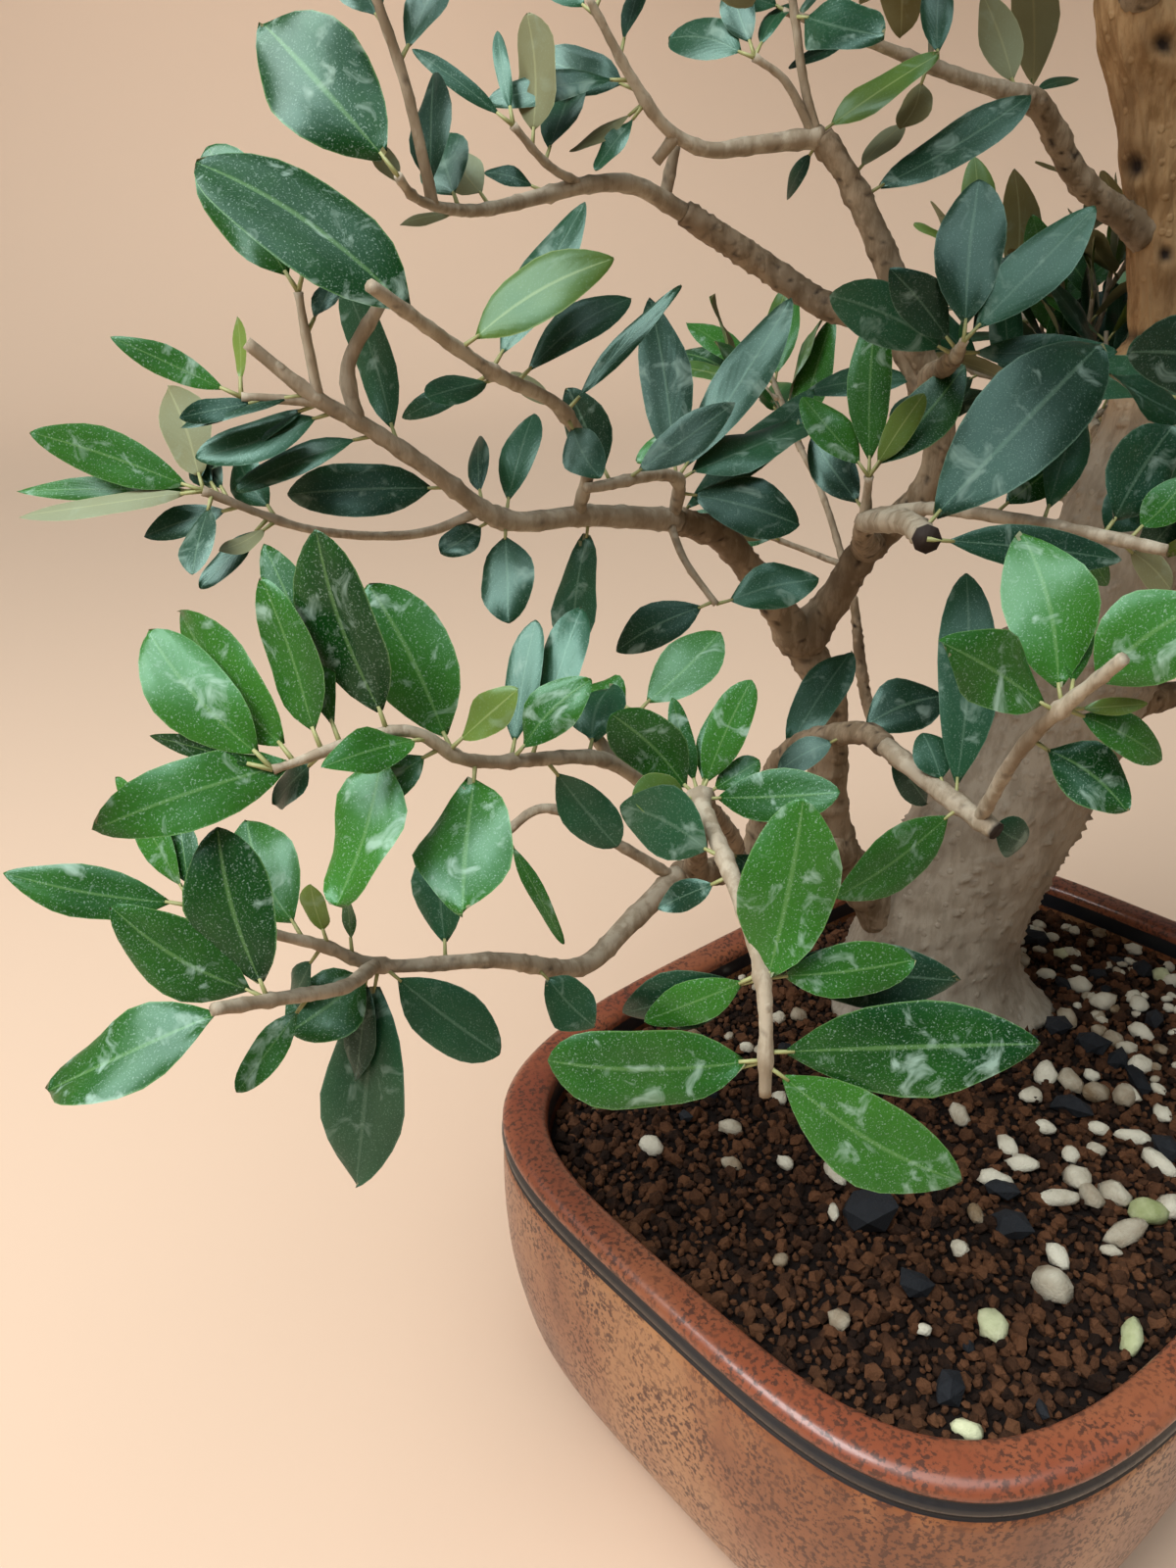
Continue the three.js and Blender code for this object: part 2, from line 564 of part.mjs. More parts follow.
// One leaf of a pair, turned "roll" round its twig and splayed out from it. Its upper
// face looks to the light: up, to the tree's front, out from the trunk and tipwards.
function layLeaf(node, turn) {
  const roll = node.roll + THREE.MathUtils.degToRad(turn);
  const splay = THREE.MathUtils.degToRad(node.splay);
  const along = node.way.clone().multiplyScalar(Math.cos(splay))
    .addScaledVector(node.first, Math.cos(roll) * Math.sin(splay))
    .addScaledVector(node.second, Math.sin(roll) * Math.sin(splay));
  const outward = new THREE.Vector3(node.base.x, node.base.y, 0).normalize();
  const face = node.way.clone().multiplyScalar(FACE_TIPWARDS).addScaledVector(outward, FACE_OUT)
    .addScaledVector(UP, FACE_UP).addScaledVector(FRONT, FACE_FRONT);
  face.addScaledVector(along, -face.dot(along));
  return { base: node.base, along, normal: face.normalize(), long: node.long };
}

// A twig and the places of its leaves, in opposite pairs from "bare" to near its tip
function dressTwig(points, thick, bare, spec, random) {
  const limb = twigLimb(points, thick, TIP_THICK);
  const length = limb.curve.getLength();
  const last = length - (spec.cut ? 2 * TIP_GAP : TIP_GAP);
  const runs = spec.pairs ?? Array.from({ length: Math.max(0, Math.floor((last - bare) / PAIR_GAP) + 1) },
    (_, i) => bare + i * PAIR_GAP);
  const nodes = [];
  let roll = random() * Math.PI;
  for (const run of runs) {
    const share = Math.min(1, run / length);
    const base = limb.curve.getPointAt(share);
    const way = limb.curve.getTangentAt(share);
    const [first, second] = squareTo(way);
    const splay = THREE.MathUtils.lerp(LEAF_SPLAY, TIP_SPLAY, share) + (random() - 0.5) * SPLAY_SPREAD;
    const young = share > YOUNG_FROM ? YOUNG_LEAF : 1;
    for (const side of [0, Math.PI]) {
      const long = young * (LEAF_LONG + (random() - 0.5) * 2 * LEAF_LONG_SPREAD);
      nodes.push({ base, way, first, second, roll: roll + side, splay, long, pair: run });
    }
    roll += Math.PI / 2 + (random() - 0.5) * ROLL_SPREAD;
  }
  return { limb, points, nodes };
}

// The stem and shoots of one spray, before anything is skipped
function growSpray(spec, start, random) {
  const stem = walk(start, spec.legs);
  const stemCurve = smooth(stem);
  const stemLong = stemCurve.getLength();
  const shoots = Array.isArray(spec.shoots) ? spec.shoots : spreadShoots(spec.shoots, stemCurve, random);
  const twigs = [dressTwig(stem, spec.thick, spec.bare ?? stemLong * STEM_BARE, spec, random)];
  for (const shoot of shoots) {
    const root = stemCurve.getPointAt(Math.min(1, shoot.at / stemLong));
    const thick = Math.min(SHOOT_THICK, spec.thick);
    twigs.push(dressTwig(walk(root, shoot.legs), thick, shoot.bare ?? SHOOT_BARE, shoot, random));
  }
  return twigs;
}

// Shoots spread round a stem by the golden angle, each leaning out and a little up
function spreadShoots(count, stemCurve, random) {
  const shoots = [];
  const stemLong = stemCurve.getLength();
  for (let i = 0; i < count; i += 1) {
    const share = FIRST_SHOOT + SHOOT_RANGE * (i / count);
    const stemWay = stemCurve.getTangentAt(share);
    const [first, second] = squareTo(stemWay);
    const turn = THREE.MathUtils.degToRad(GOLDEN_ANGLE * i + TURN_SPREAD * random());
    const out = THREE.MathUtils.degToRad(SHOOT_OUT + (random() - 0.5) * OUT_SPREAD);
    const way = stemWay.clone().multiplyScalar(Math.cos(out))
      .addScaledVector(first, Math.cos(turn) * Math.sin(out))
      .addScaledVector(second, Math.sin(turn) * Math.sin(out))
      .addScaledVector(UP, SHOOT_LIFT).normalize();
    const long = SHOOT_LONG * (SHORTEST_SHOOT + SHOOT_SPREAD * random());
    const bearing = THREE.MathUtils.radToDeg(Math.atan2(way.y, way.x));
    const slope = THREE.MathUtils.radToDeg(Math.asin(way.z));
    shoots.push({
      at: share * stemLong,
      legs: [
        [bearing, slope, long * BEND_SHARE],
        [bearing + BEND_TURN, slope + BEND_RISE, long * (1 - BEND_SHARE)],
      ],
    });
  }
  return shoots;
}

// Everything placed so far, with its box, to find what a new twig or leaf would touch
const placed = [];

function place(solid, owner, twig, pair) {
  placed.push({ solid, owner, twig, pair, box: solid.boundingBox() });
}

function boxesMeet(a, b) {
  return [0, 1, 2].every((axis) => a.min[axis] <= b.max[axis] && b.min[axis] <= a.max[axis]);
}

function touches(geometry, mayMeet) {
  const solid = toSolid(geometry);
  const box = solid.boundingBox();
  const found = placed.some((other) => {
    if (mayMeet(other) || !boxesMeet(box, other.box)) return false;
    const shared = solid.intersect(other.solid);
    const met = !shared.isEmpty();
    shared.delete();
    return met;
  });
  solid.delete();
  return found;
}

function mesh(name, geometry, look) {
  const piece = new THREE.Mesh(geometry, look);
  piece.name = name;
  return piece;
}

const model = new THREE.Group();
const tree = new THREE.Group();
model.add(tree);
tree.position.set(TREE_X, TREE_Y, SOIL_TOP + GAP);
tree.rotation.z = THREE.MathUtils.degToRad(TREE_TURN);

tree.updateMatrixWorld();
const limbs = {};
const trunk = trunkLimb();
const trunkSolid = toSolid(trunkGeometry(trunk));
const trunkFoot = new THREE.Vector3(trunk.leanAt(0), 0, 0).applyMatrix4(tree.matrixWorld);
const trunkSeat = toSolid(trunkGeometry(trunk, GAP).applyMatrix4(tree.matrixWorld));
const potGeometry = potBody(potProfile());
const soilGeometry = toGeometry(soilSolid(trunkFoot).subtract(trunkSeat));
model.add(mesh('pot', toGeometry(toSolid(potGeometry)), glaze));
model.add(mesh('soil', soilGeometry, earth));

// In the tree's own frame the pot and soil are limbs' neighbours too
const toTree = tree.matrixWorld.clone().invert();
place(toSolid(potGeometry.clone().applyMatrix4(toTree)), 'pot');
place(toSolid(soilGeometry.clone().applyMatrix4(toTree)), 'soil');

limbs.trunk = { curve: trunk.curve, tip: new THREE.Vector3(trunk.leanAt(trunk.top), 0, trunk.top) };
tree.add(mesh('trunk', toGeometry(trunkSolid), bark));
place(trunkSolid, 'trunk');
const cutters = [{ name: 'trunk', solid: toSolid(trunkGeometry(trunk, GAP)) }];

for (const [name, spec] of Object.entries(BOUGHS)) {
  const parent = limbs[spec.from];
  const share = Math.min(1, spec.at / parent.curve.getLength());
  const points = walk(parent.curve.getPointAt(share), spec.legs);
  const limb = {
    curve: smooth(points), sides: BOUGH_SIDES, step: BOUGH_STEP, tip: points.at(-1),
    radius: (along) => THREE.MathUtils.lerp(spec.ends[0], spec.ends[1], along) / 2,
  };
  limbs[name] = limb;
  let solid = toSolid(limbGeometry(limb));
  for (const cutter of cutters) solid = solid.subtract(cutter.solid);
  solid = mainBody(solid);
  tree.add(mesh(name, toGeometry(solid), bark));
  place(solid, name);
  cutters.push({ name, solid: toSolid(limbGeometry(limb, GAP)) });
}

// Every stem is placed before any shoot or leaf, so that these keep clear of all stems
let seed = FIRST_SEED;
const sprays = Object.entries(SPRAYS).map(([name, spec]) => {
  seed += SEED_STEP;
  const twigs = growSpray(spec, limbs[spec.on].tip, seeded(seed));
  place(toSolid(limbGeometry(twigs[0].limb)), name, 0);
  return { name, twigs };
});

for (const { name, twigs } of sprays) {
  const space = twigs[0].limb.curve.getSpacedPoints(REACH_POINTS);
  const leavesSpace = (point) => space.every((near) => near.distanceTo(point) > SPRAY_REACH);
  const kept = [toSolid(limbGeometry(twigs[0].limb))];
  const keep = (geometry, twig, pair) => {
    const solid = toSolid(geometry);
    kept.push(solid);
    place(solid, name, twig, pair);
  };
  const standing = twigs.filter((twig, index) => {
    if (index === 0) return true;
    const mayMeet = (other) => other.owner === name && other.twig === 0;
    if (leavesSpace(twig.points.at(-1)) || touches(limbGeometry(twig.limb, GAP), mayMeet)) return false;
    keep(limbGeometry(twig.limb), index);
    return true;
  });
  for (const twig of standing) {
    const index = twigs.indexOf(twig);
    for (const node of twig.nodes) {
      const mayMeet = (other) => other.owner === name && other.twig === index
        && (other.pair === undefined || other.pair === node.pair);
      const fits = (leaf) => !leavesSpace(leaf.base.clone().addScaledVector(leaf.along, leaf.long))
        && !touches(leafGeometry(leaf, GAP), mayMeet);
      const leaf = LEAF_TRIES.map((turn) => layLeaf(node, turn)).find(fits);
      if (leaf) keep(leafGeometry(leaf), index, node.pair);
    }
  }
  let solid = wasm.Manifold.union(kept);
  for (const cutter of cutters) solid = solid.subtract(cutter.solid);
  tree.add(mesh(name, toGeometry(mainBody(solid)), foliage));
}

export default model;
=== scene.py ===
import math

import bmesh
import bpy
import numpy as np
from mathutils import Matrix, Vector, noise
from mathutils.bvhtree import BVHTree


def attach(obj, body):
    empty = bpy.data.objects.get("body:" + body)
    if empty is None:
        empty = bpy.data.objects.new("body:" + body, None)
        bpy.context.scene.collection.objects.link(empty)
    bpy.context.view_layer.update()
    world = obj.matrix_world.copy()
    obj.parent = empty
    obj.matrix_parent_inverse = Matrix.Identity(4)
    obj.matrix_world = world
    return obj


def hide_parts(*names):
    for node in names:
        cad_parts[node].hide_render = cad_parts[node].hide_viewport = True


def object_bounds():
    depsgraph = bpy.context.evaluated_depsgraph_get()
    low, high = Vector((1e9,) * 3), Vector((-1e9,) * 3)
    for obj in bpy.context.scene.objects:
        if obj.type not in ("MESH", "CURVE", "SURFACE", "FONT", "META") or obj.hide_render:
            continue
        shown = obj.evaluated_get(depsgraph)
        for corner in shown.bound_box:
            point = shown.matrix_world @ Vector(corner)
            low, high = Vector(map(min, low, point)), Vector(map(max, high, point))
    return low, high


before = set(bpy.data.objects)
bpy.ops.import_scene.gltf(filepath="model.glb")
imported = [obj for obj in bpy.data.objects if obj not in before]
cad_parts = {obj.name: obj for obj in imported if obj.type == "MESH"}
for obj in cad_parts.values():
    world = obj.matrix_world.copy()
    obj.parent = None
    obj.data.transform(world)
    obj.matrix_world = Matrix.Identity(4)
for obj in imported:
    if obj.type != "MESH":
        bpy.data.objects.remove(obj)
cad_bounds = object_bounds()
scene = bpy.context.scene

# Camera. It stands a hand above the pot's rim, in front of the tree and to its left, and
# looks down at the trunk's foot. Places are in metres from the middle of the pot's foot.
CAMERA_PLACE = (-0.3177, -0.1652, 0.370)
CAMERA_TURN = -40.3
CAMERA_DOWN = 24.44
CAMERA_LENS = 25.98

camera_data = bpy.data.cameras.new("camera")
camera_data.sensor_fit = "VERTICAL"
camera_data.sensor_height = 36
camera_data.sensor_width = 36
camera_data.lens = CAMERA_LENS
camera_data.clip_start = 0.01
camera = bpy.data.objects.new("camera", camera_data)
camera.location = CAMERA_PLACE
camera.rotation_euler = (math.radians(90 - CAMERA_DOWN), 0, math.radians(CAMERA_TURN))
scene.collection.objects.link(camera)
scene.camera = camera
scene.view_settings.view_transform = "Standard"


# Studio floor. A pale peach sheet lies flat round the pot and sweeps up far away on every
# side, so that it is also the backdrop.
FLOOR_FLAT = 3.0
FLOOR_SWEEP = 2.1
FLOOR_DROP = 0.0004
FLOOR_ROUND = 96
SWEEP_STEPS = 12
FLOOR_COLOUR = (0.66, 0.47, 0.34, 1)


def add_object(name, mesh):
    piece = bpy.data.objects.new(name, mesh)
    scene.collection.objects.link(piece)
    return piece


def mesh_of(bm, name, smooth=True):
    """A mesh from a bmesh, which is then freed."""
    for face in bm.faces:
        face.smooth = smooth
    mesh = bpy.data.meshes.new(name)
    bm.to_mesh(mesh)
    bm.free()
    return mesh


def spin_profile(profile, steps):
    """A bmesh made by turning a profile of (radius, height) points once round the Z axis."""
    bm = bmesh.new()
    points = [bm.verts.new((radius, 0, height)) for radius, height in profile]
    edges = [bm.edges.new(pair) for pair in zip(points, points[1:])]
    bmesh.ops.spin(bm, geom=points + edges, cent=(0, 0, 0), axis=(0, 0, 1), dvec=(0, 0, 0),
                   angle=2 * math.pi, steps=steps, use_merge=True, use_duplicate=False)
    bmesh.ops.remove_doubles(bm, verts=bm.verts, dist=1e-6)
    bmesh.ops.recalc_face_normals(bm, faces=bm.faces)
    return bm


def new_material(name):
    """A material, its node tree and its shader."""
    made = bpy.data.materials.new(name)
    made.use_nodes = True
    tree = made.node_tree
    return made, tree, tree.nodes["Principled BSDF"]


def plug(tree, node, inputs):
    """Fills a node's inputs, each given as (socket, value or output)."""
    for socket, value in inputs:
        if isinstance(value, bpy.types.NodeSocket):
            tree.links.new(value, node.inputs[socket])
        else:
            node.inputs[socket].default_value = value


def wire(tree, kind, inputs=(), **settings):
    """A node of that kind, with its settings and inputs."""
    node = tree.nodes.new(kind)
    for key, value in settings.items():
        setattr(node, key, value)
    plug(tree, node, inputs)
    return node


floor_profile = [(0, -FLOOR_DROP), (0.5, -FLOOR_DROP), (FLOOR_FLAT, -FLOOR_DROP)]
for step in range(1, SWEEP_STEPS + 1):
    angle = math.radians(90 * step / SWEEP_STEPS)
    floor_profile.append((FLOOR_FLAT + FLOOR_SWEEP * math.sin(angle), FLOOR_SWEEP * (1 - math.cos(angle))))
floor_mesh = mesh_of(spin_profile(floor_profile, FLOOR_ROUND), "floor")
floor_mesh.flip_normals()
floor = add_object("floor", floor_mesh)
floor_finish, tree, shader = new_material("floor_finish")
plug(tree, shader, [("Base Color", FLOOR_COLOUR), ("Roughness", 0.9), ("Specular IOR Level", 0.1)])
floor_mesh.materials.append(floor_finish)


# Light. Soft daylight falls from above on the tree's left, with a panel on that side and one for
# the backdrop. The air is brightest high overhead, like a cloudy roof window, for a cool shine.
DAY_COLOUR = (0.96, 0.99, 1.0)
DAY_POWER = 0.5
DAY_SPREAD = 34
PANEL_POWER = 19
WINDOW_BEARING = 235
WINDOW_SLOPE = 74
WINDOW_EDGE = (0.85, 0.96)
AIR_STRENGTH = (0.14, 3.3)
AIR_COLOUR = (0.86, 0.96, 1.0, 1)


def add_light(name, kind, place, aim, power, colour, **settings):
    light = bpy.data.lights.new(name, kind)
    light.energy = power
    light.color = colour
    for key, value in settings.items():
        setattr(light, key, value)
    lamp = bpy.data.objects.new(name, light)
    lamp.location = place
    lamp.rotation_euler = (Vector(aim) - Vector(place)).to_track_quat("-Z", "Y").to_euler()
    scene.collection.objects.link(lamp)


def remap(tree, value, low, high, least=0, most=1, **settings):
    """A value carried from the span low to high over to least to most, and held within it."""
    return wire(tree, "ShaderNodeMapRange", [
        ("Value", value), ("From Min", low), ("From Max", high), ("To Min", least), ("To Max", most),
    ], **settings).outputs[0]


add_light("day_light", "SUN", (-2.0, 0.6, 3.2), (0, 0, 0.2), DAY_POWER, DAY_COLOUR,
          angle=math.radians(DAY_SPREAD))
add_light("left_panel", "AREA", (-0.9, 0.15, 1.2), (-0.2, 0, 0.2), PANEL_POWER, DAY_COLOUR,
          shape="DISK", size=0.9)
add_light("backdrop_panel", "AREA", (1.5, 3.6, 2.6), (1.9, 5.0, 1.6), PANEL_POWER, (0.97, 0.99, 1.0),
          shape="DISK", size=2.4)
air = bpy.data.worlds.new("air")
air.use_nodes = True
sky = air.node_tree
flat, slope = math.radians(WINDOW_BEARING), math.radians(WINDOW_SLOPE)
window_way = (math.cos(flat) * math.cos(slope), math.sin(flat) * math.cos(slope), math.sin(slope))
view = wire(sky, "ShaderNodeTexCoord").outputs["Generated"]
facing = wire(sky, "ShaderNodeVectorMath", [(0, view), (1, window_way)], operation="DOT_PRODUCT")
glow = remap(sky, facing.outputs["Value"], *WINDOW_EDGE, *AIR_STRENGTH, interpolation_type="SMOOTHSTEP")
plug(sky, sky.nodes["Background"], [("Strength", glow), ("Color", AIR_COLOUR)])
scene.world = air


# Pot. One thick cast body of stoneware in a rounded oblong, with an overhanging lip whose
# lower edge has a bead of black glaze. The body has a mottled rust glaze, fired on.
POT_LONG = 0.315
POT_WIDE = 0.232
POT_TALL = 0.110
RIM_WIDE = 0.013
PLAN_POWER = 3.9
PLAN_STEPS = 224
WALL_THICK = 0.009
FLOOR_THICK = 0.011
FOOT_INSET = 0.025
LIP_TALL = 0.009
GROOVE_DEEP = 0.0016
SOIL_DROP = 0.012


def press_oblong(x, y):
    """Presses a point of a circle as wide as the pot into the pot's rounded oblong."""
    half = POT_WIDE / 2
    radius = math.hypot(x, y)
    if radius < 1e-7:
        return 0.0, 0.0
    extra = (POT_LONG - POT_WIDE) / 2 * min(1, 2 * radius / half)
    cos, sin = x / radius, y / radius
    power = 2 / PLAN_POWER
    return (math.copysign(abs(cos) ** power, cos) * (radius + extra),
            math.copysign(abs(sin) ** power, sin) * radius)


def smooth_curve(points, steps):
    """Points of a smooth curve through the given ones, with steps between each two."""
    given = [Vector(p) for p in points]
    ends = [given[0] * 2 - given[1]] + given + [given[-1] * 2 - given[-2]]
    out = []
    for a, b, c, d in zip(ends, ends[1:], ends[2:], ends[3:]):
        for step in range(steps):
            t = step / steps
            out.append(0.5 * (2 * b + (c - a) * t + (2 * a - 5 * b + 4 * c - d) * t * t
                              + (3 * b - 3 * c + d - a) * t ** 3))
    return out + [given[-1]]


def pot_profile():
    """The pot's section as (radius, height), from the middle of its foot round to its inside."""
    half, rim, wall = POT_WIDE / 2, POT_TALL, POT_TALL - LIP_TALL
    outside = smooth_curve([(half - inset, height) for inset, height in (
        (0.025, 0), (0.018, 0.004), (0.0125, 0.012), (0.007, 0.025), (0.0036, 0.040), (0.0013, 0.055),
        (0.0002, 0.072), (0, 0.086), (0.0003, wall - 0.0022))], 3)
    bead = [(half - inset, height) for inset, height in (
        (GROOVE_DEEP, wall - 0.0016), (0.0007, wall - 0.0011), (0.0001, wall), (-0.0002, wall + 0.0012),
        (0.0001, wall + 0.0024), (0.0008, wall + 0.0032))]
    lip = smooth_curve([(half - inset, height) for inset, height in (
        (0.0009, wall + 0.0037), (0.0003, wall + 0.0048), (0.0003, rim - 0.0024), (0.0022, rim - 0.0004),
        (0.0052, rim), (RIM_WIDE - 0.003, rim - 0.0005), (RIM_WIDE - 0.0004, rim - 0.0022),
        (RIM_WIDE + 0.0004, rim - 0.006))], 3)
    inside = [(half - inset, height) for inset, height in (
        (RIM_WIDE + 0.0006, rim - SOIL_DROP), (WALL_THICK + 0.012, FLOOR_THICK + 0.022),
        (WALL_THICK + 0.022, FLOOR_THICK))]
    floor_line = [(half - FOOT_INSET - 0.02, 0), (half - FOOT_INSET - 0.004, 0)]
    return ([(0, 0)] + floor_line + [tuple(p) for p in outside] + bead + [tuple(p) for p in lip]
            + inside + [(0, FLOOR_THICK)])


def maths(tree, operation, *values):
    """The result of a sum of that kind on values or outputs."""
    return wire(tree, "ShaderNodeMath", list(enumerate(values)), operation=operation).outputs[0]


def mix_colour(tree, share, first, second):
    """A colour between two others."""
    mixed = wire(tree, "ShaderNodeMix", [("Factor", share), ("A", first), ("B", second)], data_type="RGBA")
    return mixed.outputs["Result"]


def noisy(tree, place, scale, detail=2, rough=0.5, warp=0):
    """A cloudy pattern from 0 to 1."""
    return wire(tree, "ShaderNodeTexNoise", [
        ("Vector", place), ("Scale", scale), ("Detail", detail), ("Roughness", rough), ("Distortion", warp),
    ]).outputs[0]


def bump(tree, height, strength, distance):
    """Surface relief from a pattern."""
    return wire(tree, "ShaderNodeBump", [
        ("Height", height), ("Strength", strength), ("Distance", distance)]).outputs[0]


def object_place(tree):
    return wire(tree, "ShaderNodeTexCoord").outputs["Object"]


pot_bm = spin_profile(pot_profile(), PLAN_STEPS)
for vert in pot_bm.verts:
    vert.co.x, vert.co.y = press_oblong(vert.co.x, vert.co.y)
bmesh.ops.recalc_face_normals(pot_bm, faces=pot_bm.faces)
pot = add_object("glazed_pot", mesh_of(pot_bm, "glazed_pot"))

BEAD_LOW = POT_TALL - LIP_TALL - 0.0022
BEAD_HIGH = POT_TALL - LIP_TALL + 0.0040
GLAZE_DARK = (0.125, 0.034, 0.013, 1)
GLAZE_RUST = (0.25, 0.086, 0.032, 1)
GLAZE_LIGHT = (0.375, 0.178, 0.076, 1)
LIP_RED = (0.235, 0.056, 0.027, 1)
FLECK_BROWN = (0.080, 0.026, 0.014, 1)
BEAD_BLACK = (0.012, 0.013, 0.016, 1)

glaze, tree, shader = new_material("rust_glaze")
place = object_place(tree)
streak = wire(tree, "ShaderNodeMapping", [("Vector", place), ("Scale", (1, 1, 0.45))]).outputs[0]
clouds = wire(tree, "ShaderNodeValToRGB", [("Fac", noisy(tree, streak, 17, 5, 0.62))])
ramp = clouds.color_ramp.elements
for spot, position, colour in ((ramp[0], 0.36, GLAZE_DARK), (ramp[1], 0.64, GLAZE_LIGHT)):
    spot.position = position
    spot.color = colour
ramp.new(0.48).color = GLAZE_RUST
height = wire(tree, "ShaderNodeSeparateXYZ", [("Vector", place)]).outputs["Z"]
flecks = noisy(tree, place, 620, 3, 0.6)
patches = noisy(tree, place, 55, 5, 0.65)
spots = maths(tree, "MULTIPLY", remap(tree, flecks, 0.50, 0.57), remap(tree, patches, 0.30, 0.54))
on_lip = remap(tree, height, BEAD_HIGH - 0.001, BEAD_HIGH + 0.001, most=0.75)
colour = mix_colour(tree, on_lip, clouds.outputs[0], LIP_RED)
colour = mix_colour(tree, spots, colour, FLECK_BROWN)
above = remap(tree, height, BEAD_LOW - 0.0003, BEAD_LOW)
below = remap(tree, height, BEAD_HIGH + 0.0004, BEAD_HIGH)
colour = mix_colour(tree, maths(tree, "MULTIPLY", above, below), colour, BEAD_BLACK)
plug(tree, shader, [
    ("Base Color", colour), ("Roughness", remap(tree, spots, 0, 1, 0.34, 0.50)),
    ("Normal", bump(tree, flecks, 0.12, 0.0004)), ("Coat Weight", 0.25), ("Coat Roughness", 0.12)])
pot.data.materials.append(glaze)
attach(pot, "root")
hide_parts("pot")


# The tree's own frame. Its origin is the trunk's foot on the soil, in millimetres; there a
# bearing of 0 points to the tree's right, 90 to its back, 180 to its left, 270 to its front.
TREE_PLACE = (0.052, 0.035, POT_TALL - SOIL_DROP + 0.0003)
TREE_TURN = -40.3
MILLI = 0.001
to_part = (Matrix.Translation(TREE_PLACE) @ Matrix.Rotation(math.radians(TREE_TURN), 4, "Z")
           @ Matrix.Diagonal((MILLI, MILLI, MILLI, 1)))
TO_PART = np.array(to_part)
UP = np.array((0.0, 0.0, 1.0))
FRONT = np.array((0.0, -1.0, 0.0))


def part_points(points):
    """Points of the tree's frame as points of the part, in metres."""
    points = np.asarray(points, dtype=float)
    return points @ TO_PART[:3, :3].T + TO_PART[:3, 3]


def seeded(seed):
    """Numbers from 0 to 1, the same on every run."""
    state = seed
    while True:
        state = state * 16807 % 2147483647
        yield state / 2147483647


def leg(bearing, slope, length):
    """A step of that length along a bearing and slope in degrees."""
    turn, rise = math.radians(bearing), math.radians(slope)
    return length * np.array((
        math.cos(rise) * math.cos(turn), math.cos(rise) * math.sin(turn), math.sin(rise)))


def walk(start, legs):
    """The corners of a way from a start along legs."""
    points = [np.array(start, dtype=float)]
    for step in legs:
        points.append(points[-1] + leg(*step))
    return points


class Line:
    """A smooth centripetal curve through points, measured along its length."""

    def __init__(self, points, samples=200):
        given = [np.asarray(p, dtype=float) for p in points]
        ends = [2 * given[0] - given[1]] + given + [2 * given[-1] - given[-2]]
        spans = len(given) - 1
        self.points = np.array([self.blend(ends, spans * i / samples, spans) for i in range(samples + 1)])
        steps = np.linalg.norm(np.diff(self.points, axis=0), axis=1)
        self.runs = np.concatenate(([0], np.cumsum(steps)))
        self.length = self.runs[-1]

    @staticmethod
    def blend(ends, place, spans):
        span = min(int(place), spans - 1)
        t = place - span
        a, b, c, d = ends[span:span + 4]
        gaps = [max(np.linalg.norm(q - p), 1e-6) ** 0.5 for p, q in ((a, b), (b, c), (c, d))]
        first = ((b - a) / gaps[0] - (c - a) / (gaps[0] + gaps[1]) + (c - b) / gaps[1]) * gaps[1]
        last = ((c - b) / gaps[1] - (d - b) / (gaps[1] + gaps[2]) + (d - c) / gaps[2]) * gaps[1]
        bent = 3 * (c - b) - 2 * first - last
        return b + first * t + bent * t ** 2 + (2 * (b - c) + first + last) * t ** 3

    def at(self, runs):
        runs = np.clip(runs, 0, self.length)
        return np.stack([np.interp(runs, self.runs, self.points[:, k]) for k in range(3)], axis=-1)

    def way(self, run):
        run = min(run, self.length)
        ahead, behind = self.at(min(run + 0.8, self.length)), self.at(max(run - 0.8, 0))
        return (ahead - behind) / np.linalg.norm(ahead - behind)


def square_to(way):
    """Two unit vectors square to a direction."""
    helper = UP if abs(way[2]) < 0.9 else np.array((1.0, 0.0, 0.0))
    first = np.cross(way, helper)
    first /= np.linalg.norm(first)
    second = np.cross(way, first)
    return first, second / np.linalg.norm(second)


# Trunk. One old stock of living wood with a thick pale lower part, cut off long ago at a
# ring of callus, and a slim tan stem with stringy bark and closed pruning wounds above it.
TRUNK = [
    (0, -18, 60), (20, -15, 60), (46, -7, 61), (73, 2, 62), (133, 21, 58), (184, 35, 51), (217, 39, 41),
    (238, 37, 29), (247, 34, 25), (253, 33, 20.5), (293, 24, 19.5), (318, 17, 23),
    (338, 9, 27), (352, 5, 21), (366, 4, 15), (384, 5, 12),
]
TRUNK_TALL = TRUNK[-1][0]
TRUNK_ROUND = 150
TRUNK_RINGS = 300
FLARE_WIDE = 9
FLARE_TALL = 15
FLARE_SIDE = -20
ROOT_RIDGES = 5
ROOT_RIDGE_DEEP = 3
# Closed wounds and knots: height, bearing, width and how far they stand out
KNOTS = [
    (300, 205, 9, 3.0), (330, 262, 8, 3.2), (322, 40, 9, 2.6), (276, 250, 6, 1.6), (240, 215, 12, 2.6),
    (243, 320, 12, 2.2), (221, 268, 10, 2.4), (170, 20, 14, 2.0), (92, 130, 12, 1.6), (148, 232, 8, 1.0),
    (262, 100, 8, 2.2), (205, 150, 11, 1.8)]
CALLUS_HIGH = 243
CUT_HIGH = 252
KNOT_REACH = 2.5

trunk_heights = np.array([row[0] for row in TRUNK], dtype=float)


def even_out(values, reach):
    """Values along a line, smoothed over that many steps to each side."""
    kernel = np.exp(-0.5 * (np.arange(-3 * reach, 3 * reach + 1) / reach) ** 2)
    padded = np.pad(values, 3 * reach, mode="edge")
    return np.convolve(padded, kernel / kernel.sum(), mode="valid")


